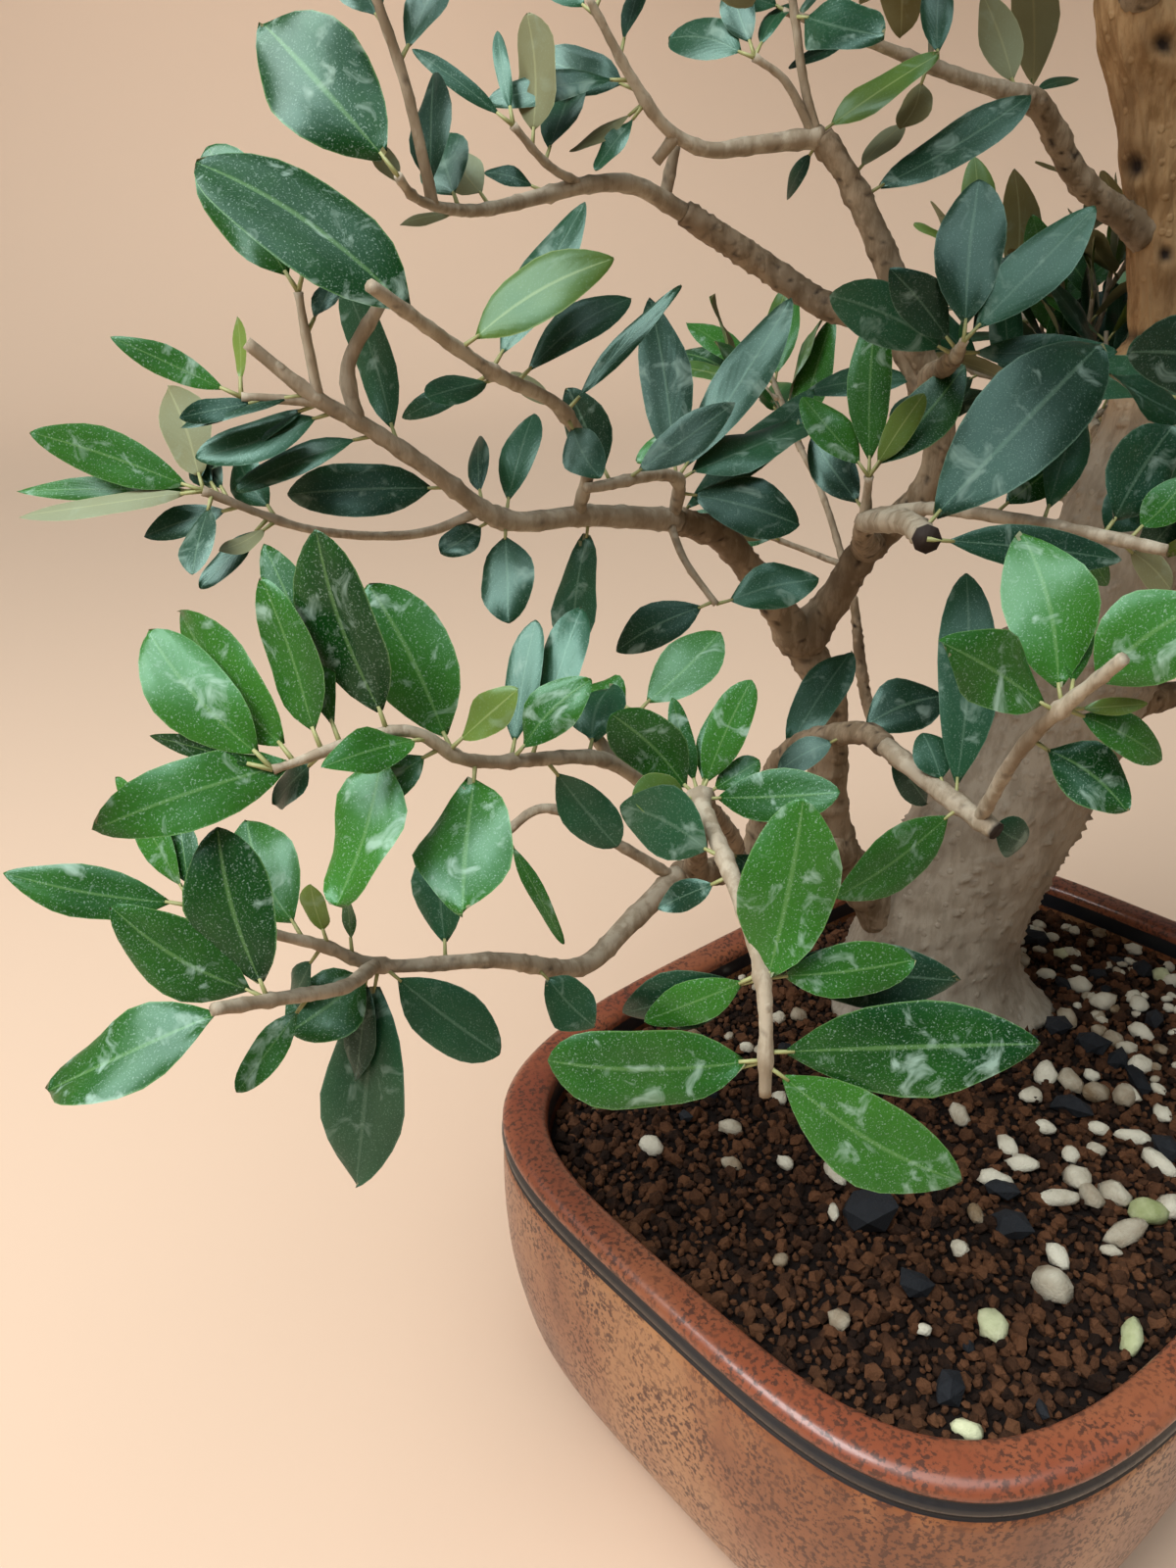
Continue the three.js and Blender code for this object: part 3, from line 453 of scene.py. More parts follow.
trunk_scale = np.arange(0, TRUNK_TALL + 1)
lean_scale = even_out(np.interp(trunk_scale, trunk_heights, [row[1] for row in TRUNK]), 5)
width_scale = even_out(np.interp(trunk_scale, trunk_heights, [row[2] for row in TRUNK]), 3)


def trunk_relief(x, y, z, angle):
    """How far the bark stands out at a place of the trunk, in millimetres, and its painted shade there."""
    stem = min(max((z - 236) / 14, 0), 1)
    flutes = noise.noise((x * 0.045, y * 0.045, z * 0.012)) * 2.2
    lumps = noise.noise((x * 0.16, y * 0.16, z * 0.13 + 7)) * 0.7
    strings = abs(noise.noise((x * 0.55, y * 0.55, z * 0.05 + 3))) - 0.25
    grain = noise.noise((x * 1.3, y * 1.3, z * 0.22)) * 0.22
    dots = max(0, noise.noise((x * 0.42, y * 0.42, z * 0.55 + 20)) - 0.33) * 5
    smooth_skin = dots + 0.35 * grain + 0.5 * max(0, 1 - z / 40) * strings
    skin = (1 - stem) * smooth_skin + stem * (1.9 * strings + grain)
    callus = 2.4 * math.exp(-((z - CALLUS_HIGH) / 5) ** 2) - 1.6 * math.exp(-((z - CUT_HIGH) / 2.4) ** 2)
    out = flutes * (1 - 0.6 * stem) + lumps + skin + callus
    # Painted shade in the groove at the cut and in the grooves between the strings
    shade_and_dark_wood = 0.7 * math.exp(-((z - CUT_HIGH) / 2.6) ** 2) + stem * max(0, -strings - 0.14)
    width = np.interp(z, trunk_scale, width_scale) / 2
    for knot_z, bearing, wide, proud in KNOTS:
        if abs(z - knot_z) > KNOT_REACH * wide:
            continue
        across = (angle - math.radians(bearing) + math.pi) % (2 * math.pi) - math.pi
        far = math.hypot(z - knot_z, across * width) / wide
        if far < KNOT_REACH:
            # The knot's pit is darkened with painted shade
            dip = math.exp(-(far / 0.38) ** 2)
            out += proud * (math.exp(-(far / 0.95) ** 2) - 1.25 * dip)
            shade_and_dark_wood += dip
    return out, shade_and_dark_wood


bm = bmesh.new()
bmesh.ops.create_grid(bm, x_segments=TRUNK_ROUND, y_segments=TRUNK_RINGS, size=1)
shade_and_dark_wood_layer = bm.verts.layers.float.new("shade_and_dark_wood")
for vert in bm.verts:
    angle = math.pi * (vert.co.x + 1)
    z = TRUNK_TALL * (vert.co.y + 1) / 2
    flare = FLARE_WIDE * math.exp(-z / FLARE_TALL) * (1.4 + math.cos(angle - math.radians(FLARE_SIDE)))
    ridge = ROOT_RIDGE_DEEP * math.cos(ROOT_RIDGES * angle + 1) * math.exp(-z / (2 * FLARE_TALL))
    radius = np.interp(z, trunk_scale, width_scale) / 2 + flare + ridge
    lean = np.interp(z, trunk_scale, lean_scale)
    proud, shade_and_dark_wood = trunk_relief(radius * math.cos(angle), radius * math.sin(angle), z, angle)
    radius += proud * min(1, radius / 12)
    vert[shade_and_dark_wood_layer] = shade_and_dark_wood
    vert.co = to_part @ Vector((lean + radius * math.cos(angle), radius * math.sin(angle), z))
bmesh.ops.remove_doubles(bm, verts=bm.verts, dist=1e-5)
rims = [edge for edge in bm.edges if edge.is_boundary]
bmesh.ops.holes_fill(bm, edges=rims, sides=0)
bmesh.ops.recalc_face_normals(bm, faces=bm.faces)
trunk = add_object("trunk_bark", mesh_of(bm, "trunk_bark"))

# Bark colours are mixed the same way on trunk, boughs and twigs: a pale skin with a darker
# grain and stains, small raised dots of bare skin, and painted shade that darkens fissures,
# pits and grooves, which also gives cut twig ends their dark old wood.
SHADE_AND_DARK_WOOD_BROWN = (0.02, 0.012, 0.008, 1)


def new_group(name, takes, gives):
    """A node group with those sockets, the outputs of its first node, and its last node."""
    group = bpy.data.node_groups.new(name, "ShaderNodeTree")
    for sockets, in_out in ((takes, "INPUT"), (gives, "OUTPUT")):
        for socket, kind in sockets.items():
            group.interface.new_socket(socket, in_out=in_out, socket_type="NodeSocket" + kind)
    return group, group.nodes.new("NodeGroupInput").outputs, group.nodes.new("NodeGroupOutput")


bark_mix, given, taken = new_group(
    "bark_mix", dict(Vector="Vector", Skin="Color", Grain="Color", Dark="Color", Shade_and_dark_wood="Float"),
    dict(Color="Color", Height="Float"))
long_grain = wire(bark_mix, "ShaderNodeMapping", [("Vector", given["Vector"]), ("Scale", (1, 1, 0.3))])
grain = noisy(bark_mix, long_grain.outputs[0], 210, 5, 0.65)
stains = noisy(bark_mix, given["Vector"], 42, 3)
dots = wire(bark_mix, "ShaderNodeTexVoronoi", [("Vector", given["Vector"]), ("Scale", 190)])
raised = remap(bark_mix, dots.outputs["Distance"], 0.24, 0.13)
colour = mix_colour(bark_mix, remap(bark_mix, grain, 0.44, 0.58), given["Skin"], given["Grain"])
stained = maths(bark_mix, "MULTIPLY", remap(bark_mix, stains, 0.45, 0.7), 0.55)
colour = mix_colour(bark_mix, stained, colour, given["Dark"])
colour = mix_colour(bark_mix, maths(bark_mix, "MULTIPLY", raised, 0.6), colour, given["Skin"])
# Painted shade: fissures, pits and grooves go near-black, as does the old wood on cut twig ends
colour = mix_colour(bark_mix, remap(bark_mix, given["Shade_and_dark_wood"], 0.15, 0.9), colour, SHADE_AND_DARK_WOOD_BROWN)
plug(bark_mix, taken, [("Color", colour), ("Height", maths(bark_mix, "MULTIPLY_ADD", raised, 0.4, grain))])


def bark_node(tree, skin, grain, dark):
    """The mix of one bark's colours. Its painted shade and dark cut ends come from the mesh."""
    shade_and_dark_wood = wire(tree, "ShaderNodeAttribute", attribute_name="shade_and_dark_wood").outputs["Fac"]
    return wire(tree, "ShaderNodeGroup", [
        ("Vector", object_place(tree)), ("Shade_and_dark_wood", shade_and_dark_wood), ("Skin", skin), ("Grain", grain), ("Dark", dark),
    ], node_tree=bark_mix)


def bark_finish(name, colours, rough, relief, upper=None):
    """A bark material, which may change to upper colours at the top of the trunk's thick part."""
    made, tree, shader = new_material(name)
    mix = bark_node(tree, *colours)
    colour = mix.outputs["Color"]
    if upper:
        height = wire(tree, "ShaderNodeSeparateXYZ", [("Vector", object_place(tree))]).outputs["Z"]
        share = remap(tree, height, STOCK_TOP - 0.03, STOCK_TOP)
        colour = mix_colour(tree, share, colour, bark_node(tree, *upper).outputs["Color"])
    plug(tree, shader, [
        ("Base Color", colour), ("Normal", bump(tree, mix.outputs["Height"], relief, 0.0008)),
        ("Roughness", rough), ("Specular IOR Level", 0.3)])
    return made


STOCK_TOP = TREE_PLACE[2] + 0.246
STOCK_BARK = ((0.37, 0.32, 0.25, 1), (0.29, 0.245, 0.185, 1), (0.19, 0.15, 0.105, 1))
STEM_BARK = ((0.40, 0.250, 0.120, 1), (0.27, 0.155, 0.066, 1), (0.14, 0.074, 0.032, 1))
trunk.data.materials.append(bark_finish("trunk_bark", STOCK_BARK, rough=0.8, relief=0.8, upper=STEM_BARK))
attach(trunk, "root")
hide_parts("trunk")


# Boughs. Living limbs of tan wood, smooth but for rings where leaves once stood. Each runs in
# legs of bearing, slope and length.
BOUGHS = {
    "low_bough": dict(start="trunk", at=24, ends=(17, 12),
                      legs=[(193, 42, 42), (195, 60, 34), (215, 80, 56), (195, 60, 26)]),
    "left_bough": dict(start="low_bough", at=156, ends=(10.5, 8),
                       legs=[(212, 49, 35), (219, 41, 21), (216, 22, 18)]),
    "centre_bough": dict(start="low_bough", at=156, ends=(11, 6.5),
                         legs=[(347, 55, 15), (328, 62, 24), (334, 50, 25), (335, 83, 18), (181, 71, 14),
                               (178, 62, 58), (180, 51, 17)]),
    "upper_left_bough": dict(start="centre_bough", at=92, ends=(8.5, 7),
                             legs=[(151, 50, 26), (161, 16, 19), (174, 30, 21), (189, 29, 30)]),
    "fork_bough": dict(start="centre_bough", at=40, ends=(8, 5.5), legs=[(251, 17, 26), (257, 33, 10)]),
    "centre_front_bough": dict(start="centre_bough", at=98, ends=(6, 4.5), legs=[(262, 12, 44)]),
    "low_left_bough": dict(start="low_bough", at=66, ends=(12, 9), legs=[(222, 12, 58), (220, 15, 32)]),
    "front_bough": dict(start="low_left_bough", at=54, ends=(7.5, 6.5),
                        legs=[(290, 70, 52), (305, 30, 36), (290, 0, 10)]),
    "near_bough": dict(start="low_left_bough", at=66, ends=(6.5, 5), legs=[(266, 41, 33), (254, 35, 82)]),
    "mid_left_bough": dict(start="low_left_bough", at=82, ends=(6.5, 5),
                           legs=[(262, 45, 50), (240, 40, 36)]),
    "upper_trunk_bough": dict(start="trunk", at=288, ends=(8.5, 6.5),
                              legs=[(194, 28, 38), (205, 42, 25), (210, 21, 9)]),
    "back_left_bough": dict(start="trunk", at=66, ends=(6, 3.6), legs=[(142, 42, 62), (165, 75, 55)]),
    "front_high_bough": dict(start="trunk", at=221, ends=(9, 5), legs=[(270, 12, 62)]),
    "front_right_bough": dict(start="trunk", at=165, ends=(11, 6), legs=[(316, 24, 44), (306, 14, 24)]),
    "right_low_bough": dict(start="trunk", at=122, ends=(13, 7), legs=[(354, 18, 50), (346, 10, 26)]),
    "right_mid_bough": dict(start="trunk", at=240, ends=(9, 6), legs=[(12, 26, 46), (4, 14, 24)]),
    "back_low_bough": dict(start="trunk", at=148, ends=(11, 6.5), legs=[(46, 20, 46), (38, 12, 24)]),
    "back_mid_bough": dict(start="trunk", at=200, ends=(9, 5.5), legs=[(86, 24, 44), (78, 14, 22)]),
    "back_high_bough": dict(start="trunk", at=262, ends=(8, 5.5), legs=[(54, 34, 40), (46, 20, 20)]),
    "top_right_bough": dict(start="trunk", at=322, ends=(8, 5.5), legs=[(336, 30, 36), (346, 18, 22)]),
    "top_front_bough": dict(start="trunk", at=350, ends=(9, 5),
                            legs=[(238, 26, 66), (224, 4, 66), (222, -20, 44)]),
    "top_left_bough": dict(start="trunk", at=362, ends=(7.5, 5), legs=[(176, 30, 36), (186, 18, 22)]),
    "top_back_bough": dict(start="trunk", at=345, ends=(7.5, 5), legs=[(112, 38, 36), (122, 24, 20)]),
}
BOUGH_STEP = 1.3
BOUGH_NODE_GAP = 15
BOUGH_BARK = ((0.31, 0.235, 0.155, 1), (0.19, 0.137, 0.083, 1), (0.10, 0.064, 0.036, 1))
COLLAR_WIDE = 0.45
COLLAR_LONG = 5

trunk_line = Line([(row[1], 0, row[0]) for row in TRUNK])
lines = {"trunk": trunk_line}
tips = {"trunk": np.array((TRUNK[-1][1], 0, TRUNK_TALL), dtype=float)}
radii = {"trunk": lambda run: np.interp(trunk_line.at(run)[2], trunk_scale, width_scale) / 2}


class Limb:
    """A limb to be drawn, as points along its line and a radius at each."""

    def __init__(self, line, radius, step):
        count = max(3, int(math.ceil(line.length / step)))
        runs = np.linspace(0, line.length, count + 1)
        self.points = line.at(runs)
        self.radii = np.array([radius(run) for run in runs])


def tube_mesh(name, limbs, bevel):
    """One mesh of round, capped tubes along limbs, in the part's frame."""
    curve = bpy.data.curves.new(name, "CURVE")
    curve.dimensions = "3D"
    curve.bevel_depth = 1
    curve.bevel_resolution = bevel
    curve.use_fill_caps = True
    curve.twist_mode = "MINIMUM"
    for limb in limbs:
        spline = curve.splines.new("POLY")
        spline.points.add(len(limb.points) - 1)
        places = np.concatenate((part_points(limb.points), np.ones((len(limb.points), 1))), axis=1)
        spline.points.foreach_set("co", places.ravel())
        spline.points.foreach_set("radius", limb.radii * MILLI)
    drawn = bpy.data.objects.new(name, curve)
    mesh = bpy.data.meshes.new_from_object(drawn)
    bpy.data.objects.remove(drawn)
    bpy.data.curves.remove(curve)
    mesh.materials.clear()
    bm = bmesh.new()
    bm.from_mesh(mesh)
    bmesh.ops.remove_doubles(bm, verts=bm.verts, dist=1e-7)
    bmesh.ops.recalc_face_normals(bm, faces=bm.faces)
    bpy.data.meshes.remove(mesh)
    return mesh_of(bm, name)


def rough_up(mesh, coarse, fine, painted_shade_by):
    """Bark relief: moves each vertex along its normal, and keeps the painted shade of its fissures."""
    bm = bmesh.new()
    bm.from_mesh(mesh)
    bm.normal_update()
    layer = bm.verts.layers.float.new("shade_and_dark_wood")
    for vert in bm.verts:
        x, y, z = vert.co / MILLI
        lumps = noise.noise((x * 0.22, y * 0.22, z * 0.22))
        warts = max(0, noise.noise((x * 0.75, y * 0.75, z * 0.75)) - 0.18)
        fissure = noise.noise((x * 0.5, y * 0.5, z * 0.5 + 9))
        # Painted shade: the deeper the fissure, the darker
        vert[layer] = max(0, -fissure - 0.22) * painted_shade_by
        out = coarse * lumps + fine * warts * 2.4 - fine * max(0, -fissure - 0.2)
        vert.co += vert.normal * out * MILLI
    bm.to_mesh(mesh)
    bm.free()


def swollen(runs_at, width, height):
    """A radius factor with a ring at each of those runs."""
    places = np.array(runs_at, dtype=float)
    return lambda run: 1 + height * np.exp(-((run - places) / width) ** 2).sum() if len(places) else 1


bough_limbs = []
for name, spec in BOUGHS.items():
    parent = lines[spec["start"]]
    points = walk(parent.at(spec["at"]), spec["legs"])
    line = Line(points)
    thick, slim = spec["ends"]
    reach = radii[spec["start"]](spec["at"])
    rings = swollen(np.arange(reach + 12, line.length, BOUGH_NODE_GAP), width=1.5, height=0.1)
    lines[name] = line
    tips[name] = points[-1]
    radii[name] = lambda run, thick=thick, slim=slim, long=line.length: (
        thick + (slim - thick) * run / long) / 2
    bough_limbs.append(Limb(line, lambda run, name=name, reach=reach, rings=rings: (
        radii[name](run) * rings(run) * (1 + COLLAR_WIDE * math.exp(-max(0, run - reach) / COLLAR_LONG))),
        BOUGH_STEP))

bough_mesh = tube_mesh("bough_bark", bough_limbs, bevel=7)
rough_up(bough_mesh, coarse=0.45, fine=0.5, painted_shade_by=2.0)
boughs = add_object("bough_bark", bough_mesh)
bough_mesh.materials.append(bark_finish("bough_bark", BOUGH_BARK, rough=0.75, relief=0.7))
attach(boughs, "root")
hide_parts(*BOUGHS)


# Twigs. Young shoots of pale tan bark, a few millimetres thick, with a ring at each pair of
# leaves. Each mass has one stem that goes on from its bough, and shoots along it. A blade is its
# run along the twig, bearing, slope, length and width, and its kind where that differs.
SPRAYS = {
    "left_spray": dict(on="left_bough", thick=7, tone="dark", cut=True,
        legs=[(217, 9, 34), (223, 6, 31), (218, 35, 25), (206, 36, 18), (206, 32, 15), (197, 41, 18)],
        blades=[
            (124, 200, -5, 25, 7), (117, 195, -15, 29, 11), (2, 35, 30, 58, 13),
            (34, 260, -60, 38, 16), (64, 270, -45, 24, 15), (67, 215, -20, 13, 9), (64, 75, 60, 27, 12),
            (83, 195, 0, 35, 14), (106, 195, -10, 32, 9), (100, 130, 60, 38, 13), (72, 105, 50, 19, 8),
            (121, 185, -20, 27, 9)],
        shoots=[
            dict(at=72, legs=[(183, -20, 17), (201, 6, 28), (199, 24, 27)],
                blades=[
                    (68, 135, 40, 26, 7), (54, 225, -25, 13, 7, "under"), (72, 180, 20, 39, 12, "bright"),
                    (72, 190, -5, 39, 7, "under"), (72, 170, 0, 48, 6, "bright"),
                    (63, 185, -15, 21, 8), (70, 265, -40, 19, 10), (56, 210, -40, 20, 7),
                    (54, 140, 45, 16, 10), (72, 120, 50, 24, 14, "under"), (66, 130, 40, 18, 9),
                    (68, 130, 30, 17, 8)]),
            dict(at=122, legs=[(233, 82, 15), (174, 85, 8)],
                blades=[(24, 160, 55, 33, 16, "bright"), (23, 15, 70, 13, 4, "young"), (14, 55, 50, 15, 7)]),
            dict(at=38, cut=True, legs=[(287, 60, 19), (232, 52, 17), (238, 21, 32), (234, 27, 40)],
                blades=[
                    (80, 355, 32, 34, 15, "young"), (91, 181, 42, 53, 25, "arched"), (68, 40, 50, 40, 13),
                    (58, 25, 40, 33, 11), (35, 15, 45, 38, 6), (34, 170, 35, 13, 5, "under"),
                    (64, 225, -10, 18, 9), (34, 295, -35, 16, 11), (67, 165, -25, 21, 6)]),
            dict(at=2, cut=True, legs=[(269, 57, 16), (221, 2, 34)],
                blades=[
                    (10, 345, -5, 32, 18), (37, 5, 35, 31, 12), (15, 20, 25, 43, 18),
                    (42, 140, 55, 25, 15), (16, 105, 60, 49, 15), (16, 40, 45, 59, 15)]),
            dict(at=112, cut=True, legs=[(132, 80, 12), (1, 58, 16)],
                blades=[]),
            dict(at=4, legs=[(292, -39, 16), (335, -49, 15)],
                blades=[(31, 0, 15, 27, 14), (30, 195, -20, 28, 13)]),
            dict(at=121, legs=[(196, 5, 18)],
                blades=[(18, 180, 25, 26, 7, "bright"), (18, 95, 65, 14, 5, "young"),
                        (12, 205, -10, 16, 6)])]),
    "low_left_spray": dict(on="low_left_bough", thick=7.5, tone="bright",
        legs=[
            (229, -15, 27), (231, -11, 21), (232, 29, 47), (207, 14, 32), (216, 39, 17), (209, 31, 14),
            (204, 35, 19)],
        blades=[
            (145, 185, -55, 14, 9, "dark"),
            (178, 185, 15, 36, 12), (178, 140, 40, 32, 9), (178, 120, 50, 17, 8), (150, 135, 40, 32, 20),
            (143, 215, 80, 13, 8, "young"), (135, 105, 85, 13, 5), (126, 220, -15, 22, 19),
            (127, 245, -65, 55, 24, "dark"), (130, 250, -65, 25, 10, "dark"),
            (126, 335, -30, 32, 17, "dark"), (109, 95, 60, 29, 16, "dark"), (77, 325, -30, 19, 15, "dark")],
        shoots=[
            dict(at=128, cut=True, legs=[(261, 20, 23), (238, 23, 16), (233, 22, 21)],
                blades=[
                    (46, 180, 35, 34, 17), (46, 165, 75, 35, 19), (54, 195, -15, 41, 18),
                    (34, 215, -45, 22, 8)]),
            dict(at=2, cut=True, legs=[(202, 39, 22), (202, 35, 34), (198, -28, 14)],
                blades=[(70, 315, -50, 33, 6)])]),
    "mid_left_spray": dict(on="mid_left_bough", thick=4.4, tone="bright",
        legs=[(225, 35, 24), (220, 15, 40), (215, 35, 18), (200, -10, 28)],
        blades=[
            (100, 165, -45, 15, 9, "dark"),
            (102, 195, -15, 41, 15), (111, 180, 15, 23, 5), (111, 165, 45, 35, 16), (106, 145, 40, 37, 19),
            (100, 145, 65, 33, 15), (86, 170, 75, 39, 19), (96, 130, 55, 41, 12), (68, 140, 55, 37, 20),
            (70, 345, 45, 18, 9, "young"), (52, 0, 50, 22, 12), (76, 235, 15, 24, 10),
            (72, 215, -15, 17, 10), (86, 245, -55, 33, 18), (62, 270, -35, 33, 22),
            (42, 345, -50, 23, 12, "dark"), (46, 60, 55, 34, 11, "dark"), (52, 75, 50, 30, 9, "dark"),
            (28, 75, 40, 18, 15, "dark")],
        shoots=[
            dict(at=3, legs=[(100, 51, 19)],
                blades=[(19, 25, 40, 27, 16), (19, 150, 20, 13, 13)]),
            dict(at=16, cut=True, legs=[(160, 47, 13)],
                blades=[])]),
    "near_spray": dict(on="near_bough", thick=4.4, tone="bright", cut=True,
        legs=[(281, -14, 29), (290, -45, 23), (282, -76, 27)],
        blades=[
            (26, 20, -40, 24, 14, "dark"), (0, 5, 35, 13, 7),
            (56, 55, 75, 40, 21), (52, 355, 10, 29, 12), (50, 10, -10, 43, 15, "dark"),
            (52, 170, -25, 30, 14, "dark"),
            (51, 185, -25, 24, 10), (71, 185, 0, 44, 19), (69, 355, 5, 54, 21), (72, 335, -25, 46, 20),
            (71, 180, -20, 36, 6), (0, 175, 45, 26, 15), (0, 10, 70, 27, 10),
            (0, 220, 20, 16, 12, "young"), (0, 345, 10, 29, 13), (2, 235, -25, 13, 8), (0, 120, 60, 21, 6),
            (0, 65, 50, 23, 10), (23, 150, 15, 23, 17, "dark"), (28, 175, -30, 14, 7, "dark"),
            (18, 10, -40, 27, 10, "dark")],
        shoots=[]),
    "front_spray": dict(on="front_bough", thick=5.6, tone="bright", cut="dark", stub=5.6,
        legs=[(301, -14, 23), (304, -13, 19)],
        blades=[
            (28, 80, 60, 59, 16, "dark"), (25, 115, 50, 14, 11, "dark"), (30, 205, -25, 38, 16),
            (36, 5, -25, 13, 11, "dark")],
        shoots=[
            dict(at=36, cut=True, legs=[(269, 54, 39), (287, 49, 36)],
                blades=[
                    (52, 190, 30, 31, 17), (54, 115, 65, 37, 20), (40, 325, -25, 22, 15),
                    (60, 350, 45, 26, 20), (54, 350, -20, 23, 10), (57, 70, 45, 26, 9),
                    (53, 345, 10, 13, 4, "young")])]),
    "fork_spray": dict(on="fork_bough", thick=3.8, tone="bright",
        legs=[(255, 61, 17)],
        blades=[
            (4, 125, 40, 26, 13, "dark"),
            (17, 160, 50, 25, 13), (17, 90, 75, 40, 12), (17, 15, 50, 35, 16),
            (17, 355, 60, 21, 8, "young")],
        shoots=[
            dict(at=1, cut="dark", stub=6.5, legs=[(272, 11, 40), (264, 4, 29)],
                blades=[(60, 25, 45, 68, 25, "dark"), (69, 0, -5, 43, 11, "dark")]),
            dict(at=3, cut=True, legs=[(298, 14, 27), (318, 0, 29), (319, -4, 31)],
                blades=[
                    (44, 10, 40, 22, 11), (57, 55, 50, 36, 12, "dark"), (72, 20, 55, 28, 17, "dark"),
                    (78, 10, 50, 15, 10), (76, 355, -40, 15, 8, "under"), (62, 0, -40, 18, 7)])]),
    "centre_front_spray": dict(on="centre_front_bough", thick=3.8, tone="dark",
        legs=[(259, 18, 14)],
        blades=[
            (14, 75, 65, 39, 17), (14, 35, 35, 42, 13), (14, 15, 45, 41, 15), (4, 5, 0, 38, 10),
            (1, 170, 25, 32, 15), (5, 180, 45, 23, 12)],
        shoots=[]),
    "upper_left_spray": dict(on="centre_bough", thick=5.4, tone="dark",
        legs=[(195, -7, 20), (200, -6, 14), (204, 20, 13), (210, 43, 14), (211, 51, 22)],
        blades=[
            (59, 160, 20, 25, 13), (62, 190, 0, 33, 9), (68, 70, 55, 26, 7), (56, 195, -50, 16, 7),
            (56, 170, -35, 18, 7, "under"), (2, 0, 35, 33, 12, "young"), (0, 150, -55, 13, 8),
            (78, 160, 35, 18, 10), (80, 60, 50, 20, 9)],
        shoots=[
            dict(at=2, legs=[(204, 50, 17), (193, 29, 10)],
                blades=[(27, 125, 60, 19, 9), (27, 50, 50, 19, 7), (27, 150, 20, 25, 13)]),
            dict(at=1, legs=[(207, 64, 13), (203, 74, 20), (198, 71, 19)],
                blades=[
                    (29, 305, -10, 26, 18), (42, 160, 35, 22, 10), (46, 25, 45, 19, 10),
                    (52, 115, 65, 21, 10), (52, 50, 50, 25, 10)]),
            dict(at=44, cut=True, legs=[(152, -46, 8)],
                blades=[])]),
    "far_left_spray": dict(on="upper_left_bough", thick=5.6, tone="dark",
        legs=[(214, 20, 19), (226, -2, 19), (224, -11, 15), (241, -8, 37), (241, 5, 21), (254, 24, 9)],
        blades=[
            (120, 165, 50, 41, 24, "arched"), (104, 105, 70, 27, 13), (94, 115, 45, 20, 14),
            (80, 140, 45, 13, 10, "under"), (113, 135, 35, 13, 5, "under"), (90, 210, -10, 13, 4, "under"),
            (52, 195, 20, 13, 6)],
        shoots=[
            dict(at=8, cut=True, legs=[(3, 78, 14)],
                blades=[]),
            dict(at=40, legs=[(231, 16, 15), (215, 39, 13)],
                blades=[
                    (28, 175, 35, 26, 5), (21, 75, 70, 26, 14, "under"), (16, 65, 50, 27, 12),
                    (28, 115, 65, 20, 4)]),
            dict(at=104, legs=[(234, 73, 25), (225, 67, 15), (231, 68, 13)],
                blades=[
                    (28, 50, 50, 21, 9), (34, 140, 45, 22, 12), (45, 30, 50, 14, 10),
                    (50, 155, 40, 14, 10), (53, 115, 65, 15, 10)])]),
    "top_trunk_spray": dict(on="upper_trunk_bough", thick=5, tone="dark",
        legs=[(192, 11, 19), (191, 15, 32), (190, 14, 24)],
        blades=[
            (31, 210, -70, 13, 11, "under"), (28, 85, 60, 27, 9), (2, 110, 50, 27, 11, "under"),
            (0, 25, 20, 17, 5), (51, 175, -10, 16, 8), (60, 60, 60, 17, 9), (72, 170, 25, 15, 9)],
        shoots=[]),
    "top_front_spray": dict(on="top_front_bough", thick=4.4, legs=[(206, -40, 30), (200, 5, 34)], bare=12,
                            tone="bright", lowest=324, shoots=[
        dict(at=12, legs=[(180, 20, 36)]),
        dict(at=24, legs=[(250, 20, 30)]),
        dict(at=4, legs=[(230, 60, 36)])]),
    "front_high_spray": dict(on="front_high_bough", thick=4.4, legs=[(262, 20, 36)], tone="dark", shoots=[
        dict(at=8, legs=[(190, 0, 34)], cut=True),
        dict(at=18, legs=[(220, 40, 30)]),
        dict(at=26, legs=[(320, 30, 40)]),
        dict(at=30, legs=[(200, -30, 26)]),
        dict(at=14, legs=[(345, 10, 40)])]),
    "back_left_spray": dict(on="back_left_bough", thick=3.2, legs=[(146, 66, 44), (158, 56, 44)], bare=60,
                            tone="bright", shoots=[
        dict(at=12, legs=[(176, 20, 40)], bare=26),
        dict(at=58, legs=[(120, 50, 34)], bare=16)]),
    "front_right_spray": dict(on="front_right_bough", thick=5, legs=[(308, 14, 50), (322, 26, 52)],
                              shoots=6),
    "right_low_spray": dict(on="right_low_bough", thick=5.6, legs=[(350, 14, 54), (6, 24, 54)], shoots=6),
    "right_mid_spray": dict(on="right_mid_bough", thick=5, legs=[(8, 16, 48), (350, 30, 48)], shoots=6),
    "back_low_spray": dict(on="back_low_bough", thick=5.4, legs=[(40, 14, 54), (52, 26, 54)], shoots=6),
    "back_mid_spray": dict(on="back_mid_bough", thick=5, legs=[(84, 12, 50), (74, 30, 50)], shoots=5),
    "back_high_spray": dict(on="back_high_bough", thick=4.8, legs=[(50, 22, 44), (38, 36, 44)], shoots=6),
    "top_right_spray": dict(on="top_right_bough", thick=4.8, legs=[(354, 22, 44), (338, 40, 40)], shoots=6),
    "top_left_spray": dict(on="top_left_bough", thick=4.4, legs=[(194, 20, 44), (178, 40, 40)], shoots=6),
    "top_back_spray": dict(on="top_back_bough", thick=4.4, legs=[(128, 30, 40), (116, 44, 38)], shoots=5),
    "crown_spray": dict(on="trunk", thick=8, legs=[(20, 72, 38), (160, 68, 44)], shoots=7),
}
